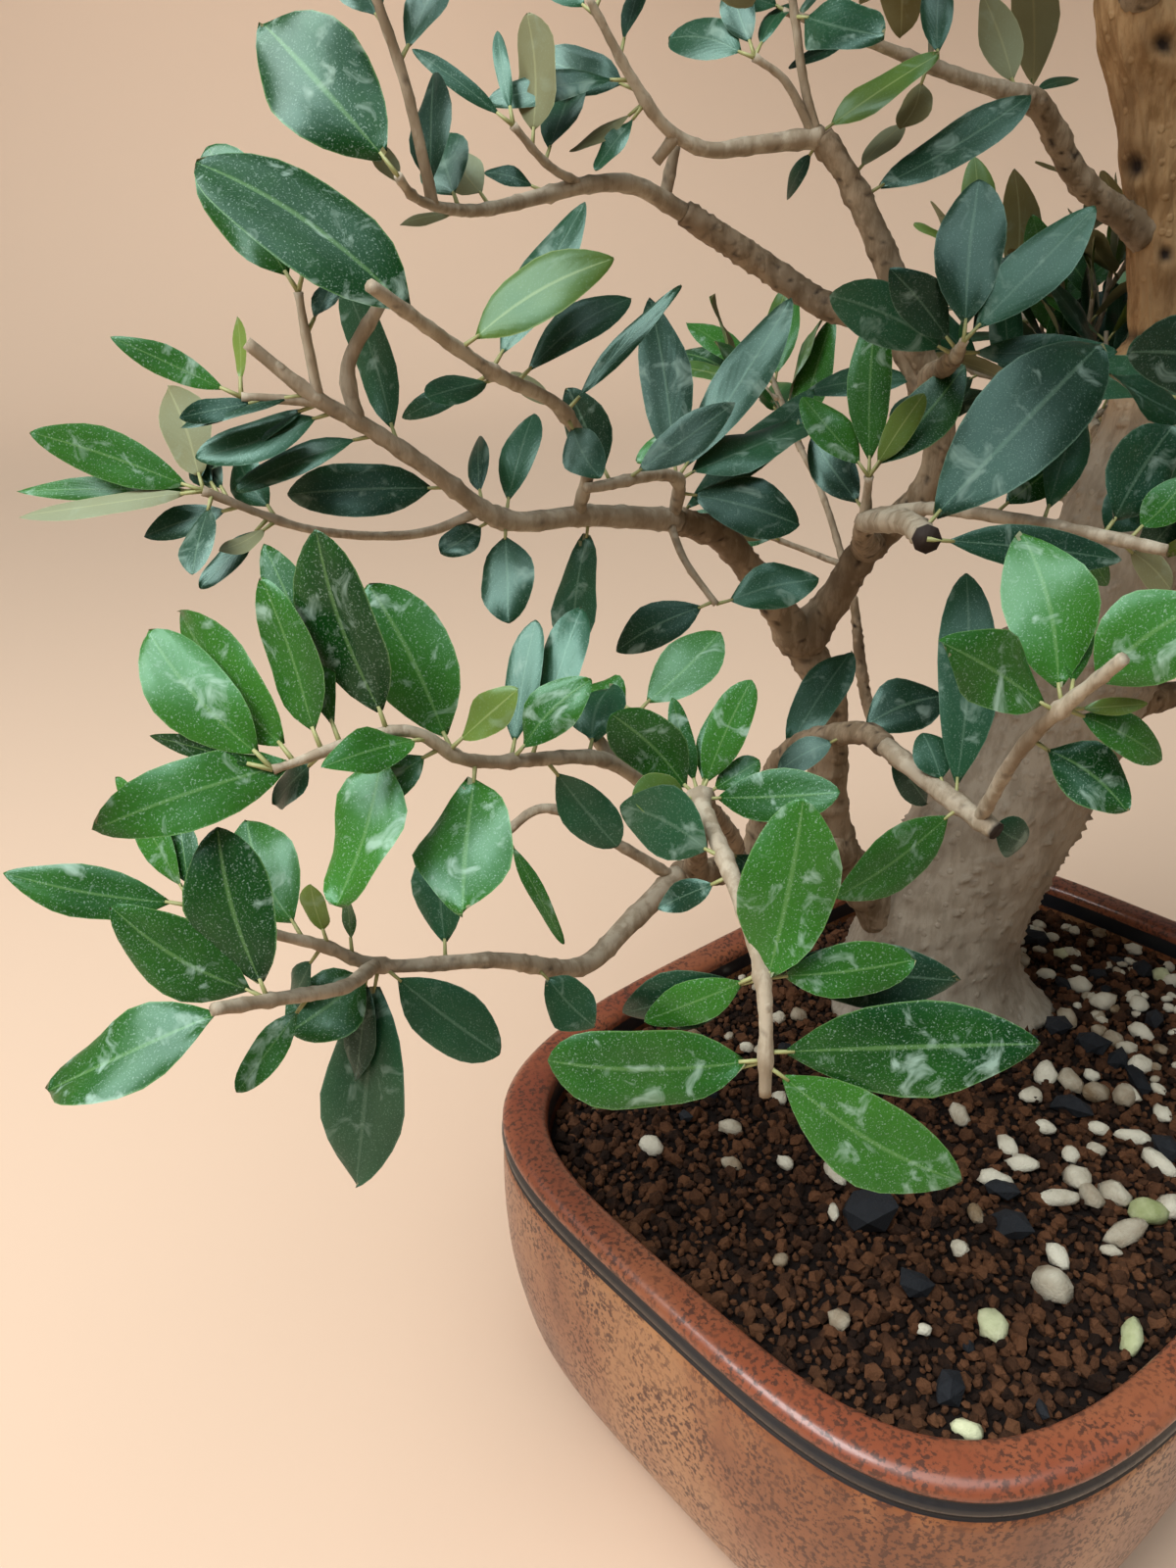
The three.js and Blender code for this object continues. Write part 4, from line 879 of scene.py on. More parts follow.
BOUGH_BLADES = {
    "centre_bough": [(152, 5, 30, 46, 17), (158, 40, 35, 21, 7, "under")],
    "front_bough": [
        (82, 0, 25, 25, 17), (82, 185, -30, 18, 10), (48, 40, 45, 40, 15), (98, 355, -50, 19, 10)],
    "centre_front_bough": [(0, 165, 0, 33, 12)],
}
FIRST_SEED = 11
SEED_STEP = 97
SHOOT_BARE = 9
SHOOT_LONG = 54
SHOOT_OUT = 52
SHOOT_THICK = 2.7
CUT_THICK = 3.8
CUT_TIP = 2.9
TIP_THICK = 1.8
GOLDEN_ANGLE = 137.5
SPRAY_REACH = 92
PAIR_GAP = 12.5
TIP_GAP = 3
TWIG_STEP = 1.8
FINE_GAP = 27
FINE_LONG = 24
FINE_THICK = 2.0
KNUCKLE_GAP = 15
RING_LONG = 1.3
RING_HIGH = 0.14
CLEAR = 0.6
CUT_DEEP = 0.0006
TWIG_BARK = ((0.44, 0.375, 0.28, 1), (0.30, 0.24, 0.165, 1), (0.165, 0.118, 0.072, 1))


def lean_out(way, turn, out, lift):
    """A direction that leaves another to its side, and rises a little."""
    first, second = square_to(way)
    side = first * math.cos(turn) + second * math.sin(turn)
    leaned = way * math.cos(out) + side * math.sin(out) + lift * UP
    return leaned / np.linalg.norm(leaned)


def spread_shoots(count, line, random):
    """Shoots round a stem by the golden angle, each leaning out and a little up."""
    shoots = []
    for i in range(count):
        run = (0.12 + 0.8 * (i / count)) * line.length
        turn = math.radians(GOLDEN_ANGLE * i + 30 * next(random))
        out = math.radians(SHOOT_OUT + (next(random) - 0.5) * 20)
        way = lean_out(line.way(run), turn, out, 0.25)
        long = SHOOT_LONG * (0.8 + 0.4 * next(random))
        bearing, slope = math.degrees(math.atan2(way[1], way[0])), math.degrees(math.asin(way[2]))
        shoots.append(dict(at=run, legs=[
            (bearing, slope, long * 0.55), (bearing + 12, slope + 14, long * 0.45)]))
    return shoots


class Twig:
    """A leafy twig: its line, thickness, and the runs where its pairs of leaves stand."""

    def __init__(self, points, thick, spec, bare, spray, tone, gap=PAIR_GAP):
        self.line = Line(points, 60)
        self.thick = thick
        self.cut = spec.get("cut")
        self.tip = 0.9 * thick if "stub" in spec else CUT_TIP if self.cut else TIP_THICK
        self.spray = spray
        self.tone = tone
        last = self.line.length - (2.5 * TIP_GAP if self.cut else TIP_GAP)
        self.blades = spec.get("blades")
        self.pairs = [blade[0] for blade in self.blades or ()] or list(np.arange(bare, last, gap))
        self.listed = self.blades is not None

    def radius(self, run):
        return (self.thick + (self.tip - self.thick) * run / self.line.length) / 2

    def limb(self):
        knuckles = []
        if self.thick > SHOOT_THICK:
            knuckles = np.arange(KNUCKLE_GAP / 2, self.line.length, KNUCKLE_GAP)
        rings = swollen([*self.pairs, *knuckles], RING_LONG, RING_HIGH)
        return Limb(self.line, lambda run: self.radius(run) * rings(run), TWIG_STEP)


class Crowd:
    """Everything solid so far, as points with radii, to find what a new twig would touch."""

    def __init__(self):
        self.places = np.empty((0, 3))
        self.radii = np.empty(0)

    def add(self, line, radius):
        runs = np.arange(0, line.length, 2.0)
        self.places = np.concatenate((self.places, line.at(runs)))
        self.radii = np.concatenate((self.radii, [radius(run) for run in runs]))

    def meets(self, line, radius, skip):
        runs = np.arange(skip, line.length + 2, 2.5)
        spots = line.at(runs)
        reach = np.array([radius(run) for run in np.minimum(runs, line.length)])
        away = np.linalg.norm(spots[:, None] - self.places[None], axis=2)
        return (away - self.radii[None] - reach[:, None]).min() < CLEAR


crowd = Crowd()
for name, line in lines.items():
    crowd.add(line, radii[name])

stems = {}
seed = FIRST_SEED
for name, spec in SPRAYS.items():
    seed += SEED_STEP
    random = seeded(seed)
    points = walk(tips[spec["on"]], spec["legs"])
    line = Line(points)
    shoots = spec["shoots"]
    if isinstance(shoots, int):
        shoots = spread_shoots(shoots, line, random)
    tone = spec.get("tone", "mixed")
    stem = Twig(points, spec["thick"], spec, spec.get("bare", line.length * 0.4), name, tone)
    stems[name] = (stem, shoots, random)
    crowd.add(stem.line, stem.radius)


def strays(twig, space):
    """Whether a twig ends too far from its mass's stem."""
    tip = twig.line.points[-1]
    return np.linalg.norm(space - tip, axis=1).min() > SPRAY_REACH - 12


twigs = []
for name, (stem, shoots, random) in stems.items():
    space = stem.line.at(np.linspace(0, stem.line.length, 13))
    own = [stem]
    for shoot in shoots:
        root = stem.line.at(shoot["at"])
        usual = min(CUT_THICK if shoot.get("cut") else SHOOT_THICK, stem.thick)
        twig = Twig(walk(root, shoot["legs"]), shoot.get("stub", usual), shoot,
                    shoot.get("bare", SHOOT_BARE), name, stem.tone)
        if not twig.listed and (strays(twig, space) or crowd.meets(twig.line, twig.radius, 9)):
            continue
        crowd.add(twig.line, twig.radius)
        own.append(twig)
    for twig in [twig for twig in own if not twig.listed]:
        first_run = (twig.pairs[0] if twig.pairs else 20) + 6
        for run in np.arange(first_run, twig.line.length - 12, FINE_GAP):
            turn = 2 * math.pi * next(random)
            out = math.radians(48 + 16 * next(random))
            way = lean_out(twig.line.way(run), turn, out, 0.3)
            long = FINE_LONG * (0.75 + 0.5 * next(random))
            root = twig.line.at(run)
            bend, end = root + way * long * 0.55, root + way * long * 0.9 + UP * long * 0.18
            fine = Twig([root, bend, end], FINE_THICK, {}, 7, name, twig.tone, gap=9)
            if strays(fine, space) or crowd.meets(fine.line, fine.radius, 6):
                continue
            crowd.add(fine.line, fine.radius)
            own.append(fine)
    twigs += own

twig_mesh = tube_mesh("twig_bark", [twig.limb() for twig in twigs], bevel=2)
rough_up(twig_mesh, coarse=0.10, fine=0.16, painted_shade_by=1.2)
# A weathered cut shows its dark old wood on the end
twig_spots = np.array([vert.co for vert in twig_mesh.vertices])
# The mask's painted fissure shade is kept, and cut ends are set fully dark
shade_and_dark_wood_values = twig_mesh.attributes["shade_and_dark_wood"].data
for twig in [twig for twig in twigs if twig.cut == "dark"]:
    end, way = part_points(twig.line.points[-1]), TO_PART[:3, :3] @ twig.line.way(twig.line.length) / MILLI
    gaps = twig_spots - end
    on_end = (np.linalg.norm(gaps, axis=1) < twig.thick * MILLI) & (gaps @ way > -CUT_DEEP)
    for index in np.nonzero(on_end)[0]:
        shade_and_dark_wood_values[index].value = 1
twig_piece = add_object("twig_bark", twig_mesh)
twig_mesh.materials.append(bark_finish("twig_bark", TWIG_BARK, rough=0.7, relief=0.5))
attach(twig_piece, "root")
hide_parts(*SPRAYS)


# Leaves. Stiff leathery blades in opposite pairs, dark and glossy above with a pale midrib,
# and silvery below, each on a short yellow-green stalk.
LEAF_LONG = 42
LEAF_LONG_SPREAD = 8
LEAF_WIDE = 0.38
LEAST_HEIGHT = 3
LEAF_THICK = 0.4
STALK_LONG = 3.6
STALK_THICK = 1.1
LEAF_SPLAY = 58
TIP_SPLAY = 34
YOUNG_LEAF = 0.78
YOUNG_FROM = 0.82
YOUNG_TONE_FROM = 0.84
LOST_LEAVES = 0.06
LEAF_TRIES = (0, 25, -25, 50, -50, 80, -80)
LEAF_SEED = 2024
PLACED_TILT = 0.5
GROWN_TILT = 0.9
CROWN_EDGE = 0.012
# The outline: half widths at shares of the length, from the stalk to the tip's small point
LEAF_OUTLINE = [
    (0, 0.06), (0.05, 0.24), (0.12, 0.48), (0.21, 0.71), (0.32, 0.89), (0.44, 0.98), (0.56, 1.0),
    (0.67, 0.97), (0.77, 0.88), (0.86, 0.72), (0.93, 0.50), (0.975, 0.26), (1.0, 0.04)]
LEAF_COLUMNS = (-1, -0.5, 0, 0.5, 1)
# Shape: fold at the midrib and bend along the blade, each as the least and how much more there may
# be, then how far twist, wave, uneven edge and sideways curve go
LEAF_FOLD = (0.16, 0.42)
LEAF_BEND = (-0.12, 0.62)
LEAF_TWIST = 0.9
LEAF_WAVE = 0.09
LEAF_UNEVEN = 0.05
LEAF_SICKLE = 0.22
ARCHED_BEND = 0.95

rows, columns = len(LEAF_OUTLINE), len(LEAF_COLUMNS)
sheet_along = np.array([share for share, _ in LEAF_OUTLINE])
sheet_half = np.array([half for _, half in LEAF_OUTLINE])
top_along = np.repeat(sheet_along, columns)
top_across = np.tile(LEAF_COLUMNS, rows)
top_half = np.repeat(sheet_half, columns)
leaf_along = np.concatenate((top_along, sheet_along))
leaf_across = np.concatenate((top_across, np.zeros(rows)))
leaf_half = np.concatenate((top_half, sheet_half))
leaf_under = np.concatenate((np.zeros(rows * columns), np.ones(rows)))

leaf_faces = []
for row in range(rows - 1):
    for column in range(columns - 1):
        corner = row * columns + column
        leaf_faces.append((corner, corner + 1, corner + 1 + columns, corner + columns))
top_faces = len(leaf_faces)
for row in range(rows - 1):
    left, right = row * columns, row * columns + columns - 1
    under = rows * columns + row
    leaf_faces.append((left, left + columns, under + 1, under))
    leaf_faces.append((under, under + 1, right + columns, right))
last = (rows - 1) * columns
leaf_faces.append((0, rows * columns, columns - 1, 3, 2, 1))
leaf_faces.append((last, last + 1, last + 2, last + 3, last + columns - 1, rows * columns + rows - 1))


class Leaf:
    """One blade: its root on a limb, direction, upper side, length and width, and how it is shaped."""

    def __init__(self, limb, run, long, wide, tone, random, kind=None):
        self.limb = limb
        self.root = limb.line.at(run)
        self.way = limb.line.way(run)
        self.long, self.wide, self.tone, self.kind = long, wide, tone, kind
        self.shape = [next(random) for _ in range(6)]
        if kind == "arched":
            self.shape[1] = ARCHED_BEND

    def point(self, along, tilt):
        """Lays the blade along a direction, its upper side out, up and to the front, with some chance."""
        outward = np.array((self.root[0], self.root[1], 0.0))
        outward /= max(np.linalg.norm(outward), 1e-6)
        lean = (np.array(self.shape[:3]) - 0.5) * tilt
        lift, forward = (1.6, 0.6) if self.kind == "arched" else (0.9, 0.9)
        face = 0.3 * self.way + 0.6 * outward + (lift * UP + forward * FRONT) + lean
        face -= along * face.dot(along)
        self.along = along
        self.face = face / np.linalg.norm(face)
        if self.kind == "under":
            self.face = -self.face
        self.across = np.cross(self.along, self.face)
        self.base = self.root + along * (self.limb.radius(0) * 0.5 + STALK_LONG)

    def settle(self, roll, splay):
        """Turns the leaf about its twig until it cuts nothing. Says whether it found room."""
        first, second = square_to(self.way)
        for degrees in LEAF_TRIES:
            turn = roll + math.radians(degrees)
            out = first * math.cos(turn) + second * math.sin(turn)
            self.point(self.way * math.cos(splay) + out * math.sin(splay), GROWN_TILT)
            coarse = self.proxy()
            if self.fits_crown() and not limb_tree.overlap(coarse) and not any(
                    coarse.overlap(other) for other in neighbours(self.middle())):
                self.keep(coarse)
                return True
        return False

    def middle(self):
        return self.base + self.along * self.long / 2

    def fits_crown(self):
        """Whether the blade stays within the crown's outer size, and hangs no lower than its mass may."""
        ends = part_points([self.base, self.base + self.along * self.long])
        low, high = np.array(cad_bounds)
        inside = (ends > low - CROWN_EDGE).all() and (ends < high + CROWN_EDGE).all()
        lowest = SPRAYS[self.limb.spray].get("lowest", LEAST_HEIGHT)
        return inside and ends[:, 2].min() > TREE_PLACE[2] + lowest * MILLI

    def keep(self, coarse):
        """Notes the blade, so that later ones keep clear of it."""
        cells.setdefault(tuple(int(v // CELL) for v in self.middle()), []).append(coarse)

    def proxy(self):
        """A coarse blade of four triangles, for finding what it would cut."""
        half, mid = self.wide / 2, self.middle()
        tip, near = self.base + self.along * self.long, self.base + self.along * self.long * 0.04
        sides = [mid + self.across * half, mid - self.across * half]
        corners = [near, sides[0], tip, sides[1], mid + self.face * 0.02 * self.long]
        triangles = [(0, 1, 4), (1, 2, 4), (2, 3, 4), (3, 0, 4)]
        return BVHTree.FromPolygons([tuple(p) for p in corners], triangles)


# What leaves may not cut, in the tree's frame
solid_spots = []
solid_faces = []
for piece in (trunk, boughs, twig_piece, pot):
    start = len(solid_spots)
    spots = np.array([vert.co for vert in piece.data.vertices]) - TO_PART[:3, 3]
    solid_spots += [tuple(spot) for spot in spots @ np.linalg.inv(TO_PART[:3, :3]).T]
    solid_faces += [tuple(index + start for index in face.vertices) for face in piece.data.polygons]
limb_tree = BVHTree.FromPolygons(solid_spots, solid_faces)

CELL = 30
cells = {}


def neighbours(place):
    """The blades kept so far in the cells round a place."""
    x, y, z = (int(v // CELL) for v in place)
    return [leaf for i in (x - 1, x, x + 1) for j in (y - 1, y, y + 1) for k in (z - 1, z, z + 1)
            for leaf in cells.get((i, j, k), ())]


class Bough:
    """A bough, as something that leaves stand on."""

    def __init__(self, name):
        self.line, self.radius = lines[name], radii[name]


leaves = []
random = seeded(LEAF_SEED)
listed = [(Bough(name), "dark", blades) for name, blades in BOUGH_BLADES.items()]
listed += [(twig, twig.tone, twig.blades) for twig in twigs if twig.listed]
for limb, tone, blades in listed:
    for run, bearing, slope, long, wide, *kind in blades:
        leaf = Leaf(limb, run, long, wide, tone, random, *(kind or ["plain"]))
        leaf.point(leg(bearing, slope, 1), PLACED_TILT)
        leaf.keep(leaf.proxy())
        leaves.append(leaf)
for twig in [twig for twig in twigs if not twig.listed]:
    roll = next(random) * math.pi
    for run in twig.pairs:
        share = min(1, run / twig.line.length)
        splay = math.radians(LEAF_SPLAY + (TIP_SPLAY - LEAF_SPLAY) * share + (next(random) - 0.5) * 18)
        young = YOUNG_LEAF if share > YOUNG_FROM and not twig.cut else 1
        for side in (0, math.pi):
            long = young * (LEAF_LONG + (next(random) - 0.5) * 2 * LEAF_LONG_SPREAD)
            wide = long * LEAF_WIDE * (0.86 + 0.28 * next(random))
            kind = "young" if share > YOUNG_TONE_FROM and next(random) > 0.35 else None
            leaf = Leaf(twig, run, long, wide, twig.tone, random, kind)
            kept = next(random) > LOST_LEAVES
            if kept and leaf.settle(roll + side + (next(random) - 0.5) * 0.5, splay):
                leaves.append(leaf)
        roll += math.pi / 2 + (next(random) - 0.5) * 0.6


def blade_points(blades):
    """The vertices of every blade, shaped and put in place."""
    long, wide, base, along, across, face = (
        np.array([getattr(leaf, name) for leaf in blades])[:, None]
        for name in ("long", "wide", "base", "along", "across", "face"))
    shape = np.array([leaf.shape for leaf in blades])
    fold = LEAF_FOLD[0] + LEAF_FOLD[1] * shape[:, 0:1]
    bend = LEAF_BEND[0] + LEAF_BEND[1] * shape[:, 1:2]
    twist = (shape[:, 2:3] - 0.5) * LEAF_TWIST
    wave = LEAF_WAVE * shape[:, 4:5]
    phase = 2 * math.pi * shape[:, 5:6]
    tip = np.clip((leaf_along - 0.6) / 0.4, 0, 1)
    uneven = 1 + LEAF_UNEVEN * np.sin(8 * leaf_along + phase + 1.5 * leaf_across)
    half = leaf_half * uneven * (1 - 0.5 * shape[:, 5:6] * tip)
    sickle = LEAF_SICKLE * (shape[:, 0:1] - 0.5) * wide * np.sin(math.pi * leaf_along)
    sideways = leaf_across * half * wide / 2
    up = fold * np.abs(sideways) - 0.9 * fold * np.abs(leaf_across) ** 3 * half * wide / 2
    up = up + wave * wide * np.sin(9 * leaf_along + phase) * leaf_across * np.abs(leaf_across)
    up = up - leaf_under * LEAF_THICK * np.minimum(1, 3 * leaf_half)
    turn = twist * leaf_along
    side = sideways * np.cos(turn) - up * np.sin(turn) + sickle
    rise = sideways * np.sin(turn) + up * np.cos(turn)
    arch = bend * leaf_along
    ahead = long * (leaf_along - bend ** 2 * leaf_along ** 3 / 6)
    drop = -long * bend * leaf_along ** 2 / 2
    ahead = ahead + rise * np.sin(arch)
    rise = rise * np.cos(arch) + drop
    return base + along * ahead[..., None] - across * side[..., None] + face * rise[..., None]


def repeated_mesh(name, places, faces, looks=None, smooth=True):
    """One mesh of many like shapes: places is (shapes, corners, 3), and faces are one shape's."""
    count, corners, _ = places.shape
    sizes = np.array([len(face) for face in faces])
    one = np.concatenate([np.array(face) for face in faces])
    loops = (one[None] + corners * np.arange(count)[:, None]).ravel()
    totals = np.tile(sizes, count)
    starts = np.concatenate(([0], np.cumsum(totals)[:-1]))
    mesh = bpy.data.meshes.new(name)
    mesh.vertices.add(count * corners)
    mesh.vertices.foreach_set("co", places.ravel())
    mesh.loops.add(len(loops))
    mesh.loops.foreach_set("vertex_index", loops)
    mesh.polygons.add(len(totals))
    mesh.polygons.foreach_set("loop_start", starts)
    mesh.polygons.foreach_set("loop_total", totals)
    if looks is not None:
        mesh.polygons.foreach_set("material_index", np.tile(looks, count))
    mesh.polygons.foreach_set("use_smooth", np.full(len(totals), smooth))
    mesh.update(calc_edges=True)
    mesh.validate()
    return mesh


def leaf_piece(name, blades):
    """Blades as one piece, with a shade for each, a map along them, and sharp edges."""
    mesh = repeated_mesh(name, part_points(blade_points(blades)), leaf_faces,
                         [0] * top_faces + [1] * (len(leaf_faces) - top_faces))
    corners = len(leaf_along)
    shade = mesh.attributes.new("shade", "FLOAT", "POINT")
    shade.data.foreach_set("value", np.repeat([leaf.shape[3] for leaf in blades], corners))
    layer = mesh.uv_layers.new(name="blade")
    index = np.empty(len(mesh.loops), dtype=int)
    mesh.loops.foreach_get("vertex_index", index)
    spot = index % corners
    layer.data.foreach_set("uv", np.stack((leaf_across[spot] / 2 + 0.5, leaf_along[spot]), axis=-1).ravel())
    pairs = np.empty(2 * len(mesh.edges), dtype=int)
    mesh.edges.foreach_get("vertices", pairs)
    rims = (np.abs(leaf_across[pairs.reshape(-1, 2) % corners]) == 1).all(axis=1)
    mesh.attributes.new("sharp_edge", "BOOLEAN", "EDGE").data.foreach_set("value", rims)
    return add_object(name, mesh)


# A blade's pattern is the same on all leaves: a pale midrib, a thin pale margin, faint side
# veins, and dried spray in dots and smears.
RESIDUE_COLOUR = (0.42, 0.56, 0.47, 1)
SHINE_TINT = (0.60, 1.0, 0.86, 1)

blade_mix, given, taken = new_group(
    "blade_mix",
    dict(Vector="Vector", Blade="Vector", Shade="Float", Low="Color", High="Color", Rib="Color",
         Spray="Float"),
    dict(Color="Color", Height="Float", Residue="Float"))
spot = wire(blade_mix, "ShaderNodeSeparateXYZ", [("Vector", given["Blade"])]).outputs
aside = maths(blade_mix, "ABSOLUTE", maths(blade_mix, "SUBTRACT", spot["X"], 0.5))
rib = maths(blade_mix, "MULTIPLY", remap(blade_mix, aside, 0.035, 0.012), 0.45)
margin = maths(blade_mix, "MULTIPLY", remap(blade_mix, aside, 0.475, 0.495), 0.55)
pale_lines = maths(blade_mix, "MAXIMUM", rib, margin)
patchy = noisy(blade_mix, given["Vector"], 55, 3)
tone = remap(blade_mix, maths(blade_mix, "ADD", patchy, given["Shade"]), 0.50, 1.5)
slant = maths(blade_mix, "MULTIPLY_ADD", aside, -0.9, spot["Y"])
veins = maths(blade_mix, "SINE", maths(blade_mix, "MULTIPLY", slant, 62.0))
dots = remap(blade_mix, noisy(blade_mix, given["Vector"], 2400), 0.58, 0.70)
smears = remap(blade_mix, noisy(blade_mix, given["Vector"], 115, 4, 0.6, 0.8), 0.57, 0.70)
dried = maths(blade_mix, "MAXIMUM", maths(blade_mix, "MULTIPLY", dots, 0.32),
              maths(blade_mix, "MULTIPLY", smears, 0.55))
residue = maths(blade_mix, "MULTIPLY", dried, given["Spray"])
colour = mix_colour(blade_mix, tone, given["Low"], given["High"])
colour = mix_colour(blade_mix, remap(blade_mix, veins, 0.75, 1.0, most=0.02), colour, given["Rib"])
colour = mix_colour(blade_mix, pale_lines, colour, given["Rib"])
colour = mix_colour(blade_mix, residue, colour, RESIDUE_COLOUR)
relief = maths(blade_mix, "MULTIPLY_ADD", pale_lines, -0.9, maths(blade_mix, "MULTIPLY", veins, 0.12))
plug(blade_mix, taken, [("Color", colour), ("Height", relief), ("Residue", residue)])


def own_shade(tree):
    return wire(tree, "ShaderNodeAttribute", attribute_name="shade").outputs["Fac"]


def blade_finish(name, low, high, rib, spray, shine, smooth, dull, wax):
    """One side of a kind of leaf: its darkest and lightest tone, midrib, residue and gloss."""
    made, tree, shader = new_material(name)
    blade = wire(tree, "ShaderNodeUVMap", uv_map="blade").outputs[0]
    mix = wire(tree, "ShaderNodeGroup", [
        ("Vector", object_place(tree)), ("Blade", blade), ("Shade", own_shade(tree)),
        ("Low", low), ("High", high), ("Rib", rib), ("Spray", spray)], node_tree=blade_mix).outputs
    plug(tree, shader, [
        ("Base Color", mix["Color"]), ("Roughness", remap(tree, mix["Residue"], 0, 1, smooth, dull)),
        ("Normal", bump(tree, mix["Height"], 0.12, 0.0003)), ("Specular IOR Level", shine),
        ("Specular Tint", SHINE_TINT), ("Coat Weight", wax), ("Coat Roughness", 0.28)])
    return made


KINDS = {
    "dark": dict(low=(0.004, 0.021, 0.009, 1), high=(0.014, 0.066, 0.026, 1), rib=(0.10, 0.17, 0.11, 1),
                 spray=0.55, shine=0.52),
    "bright": dict(low=(0.003, 0.034, 0.004, 1), high=(0.032, 0.138, 0.013, 1), rib=(0.14, 0.27, 0.09, 1),
                   spray=1.0, shine=0.38),
    "young": dict(low=(0.045, 0.105, 0.020, 1), high=(0.145, 0.205, 0.038, 1), rib=(0.30, 0.36, 0.14, 1),
                  spray=0.3, shine=0.28),
}
UNDERSIDE = dict(low=(0.15, 0.13, 0.05, 1), high=(0.22, 0.235, 0.14, 1), rib=(0.33, 0.33, 0.17, 1),
                 spray=0.2, shine=0.3)


def kind_of(leaf):
    """The kind of finish a leaf has: its own, or that of its mass."""
    if leaf.kind in KINDS:
        return leaf.kind
    if leaf.kind == "arched":
        return "bright"
    if leaf.kind is None and leaf.shape[4] > 0.97:
        return "young"
    if leaf.tone == "mixed":
        return "bright" if leaf.shape[5] > 0.6 else "dark"
    return leaf.tone


for kind, looks in KINDS.items():
    piece = leaf_piece(kind + "_leaves", [leaf for leaf in leaves if kind_of(leaf) == kind])
    piece.data.materials.append(blade_finish(kind + "_leaf_top", smooth=0.33, dull=0.7, wax=0.1, **looks))
    piece.data.materials.append(blade_finish(kind + "_leaf_under", smooth=0.6, dull=0.8, wax=0, **UNDERSIDE))
    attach(piece, "root")
    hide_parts(*SPRAYS)


# Leaf stalks. Short yellow-green stalks, round in section, that carry the blades out from
# the twig.
STALK_STATIONS = (0, 0.5, 1)
STALK_SIDES = 5
STALK_TONES = ((0.22, 0.24, 0.08, 1), (0.38, 0.37, 0.16, 1))
stalk_places = []
for leaf in leaves:
    start, end = leaf.root, leaf.base + leaf.along * 0.03 * leaf.long
    rings = []
    for share in STALK_STATIONS:
        centre = start + (end - start) * share
        radius = STALK_THICK / 2 * (1.15 - 0.35 * share)
        for side in range(STALK_SIDES):
            angle = 2 * math.pi * side / STALK_SIDES
            rings.append(centre + radius * (math.cos(angle) * leaf.across + math.sin(angle) * leaf.face))
    stalk_places.append(rings)
stalk_faces = []
for row in range(len(STALK_STATIONS) - 1):
    low, high = STALK_SIDES * row, STALK_SIDES * (row + 1)
    for side in range(STALK_SIDES):
        beside = (side + 1) % STALK_SIDES
        stalk_faces.append((low + side, low + beside, high + beside, high + side))
stalk_faces.append(tuple(reversed(range(STALK_SIDES))))
stalk_faces.append(tuple(range(STALK_SIDES * (len(STALK_STATIONS) - 1), STALK_SIDES * len(STALK_STATIONS))))
stalks = add_object("leaf_stalks", repeated_mesh("leaf_stalks", part_points(stalk_places), stalk_faces))
bm = bmesh.new()
bm.from_mesh(stalks.data)
bmesh.ops.recalc_face_normals(bm, faces=bm.faces)
bm.to_mesh(stalks.data)
bm.free()
stalk_finish, tree, shader = new_material("leaf_stalk")
tones = mix_colour(tree, noisy(tree, object_place(tree), 300), *STALK_TONES)
plug(tree, shader, [("Base Color", tones), ("Roughness", 0.55)])
stalks.data.materials.append(stalk_finish)
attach(stalks, "root")
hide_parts(*SPRAYS)


# Soil. A bed of hard baked clay granules, filled in to under the rim, with larger bits on top:
# lumps of charcoal, pale pumice and perlite, and some pumice grown over with moss.
SOIL_TOP = POT_TALL - SOIL_DROP
SOIL_INSET = RIM_WIDE + 0.0012
SWELL = 1.5
SWELL_LONG = 17
SWELL_WIDE = 14
FOOT_CLEAR = 58
SWELL_EDGE = 0.28
GRAIN_GAP = 0.0032
GRAIN_SIZE = 0.0020
GRAIN_STRAY = 0.0006
GRAIN_SUNK = 0.0016
GRAIN_EDGE = 0.987
GRAIN_CLEAR = 0.031
CLAY_SEED = 5
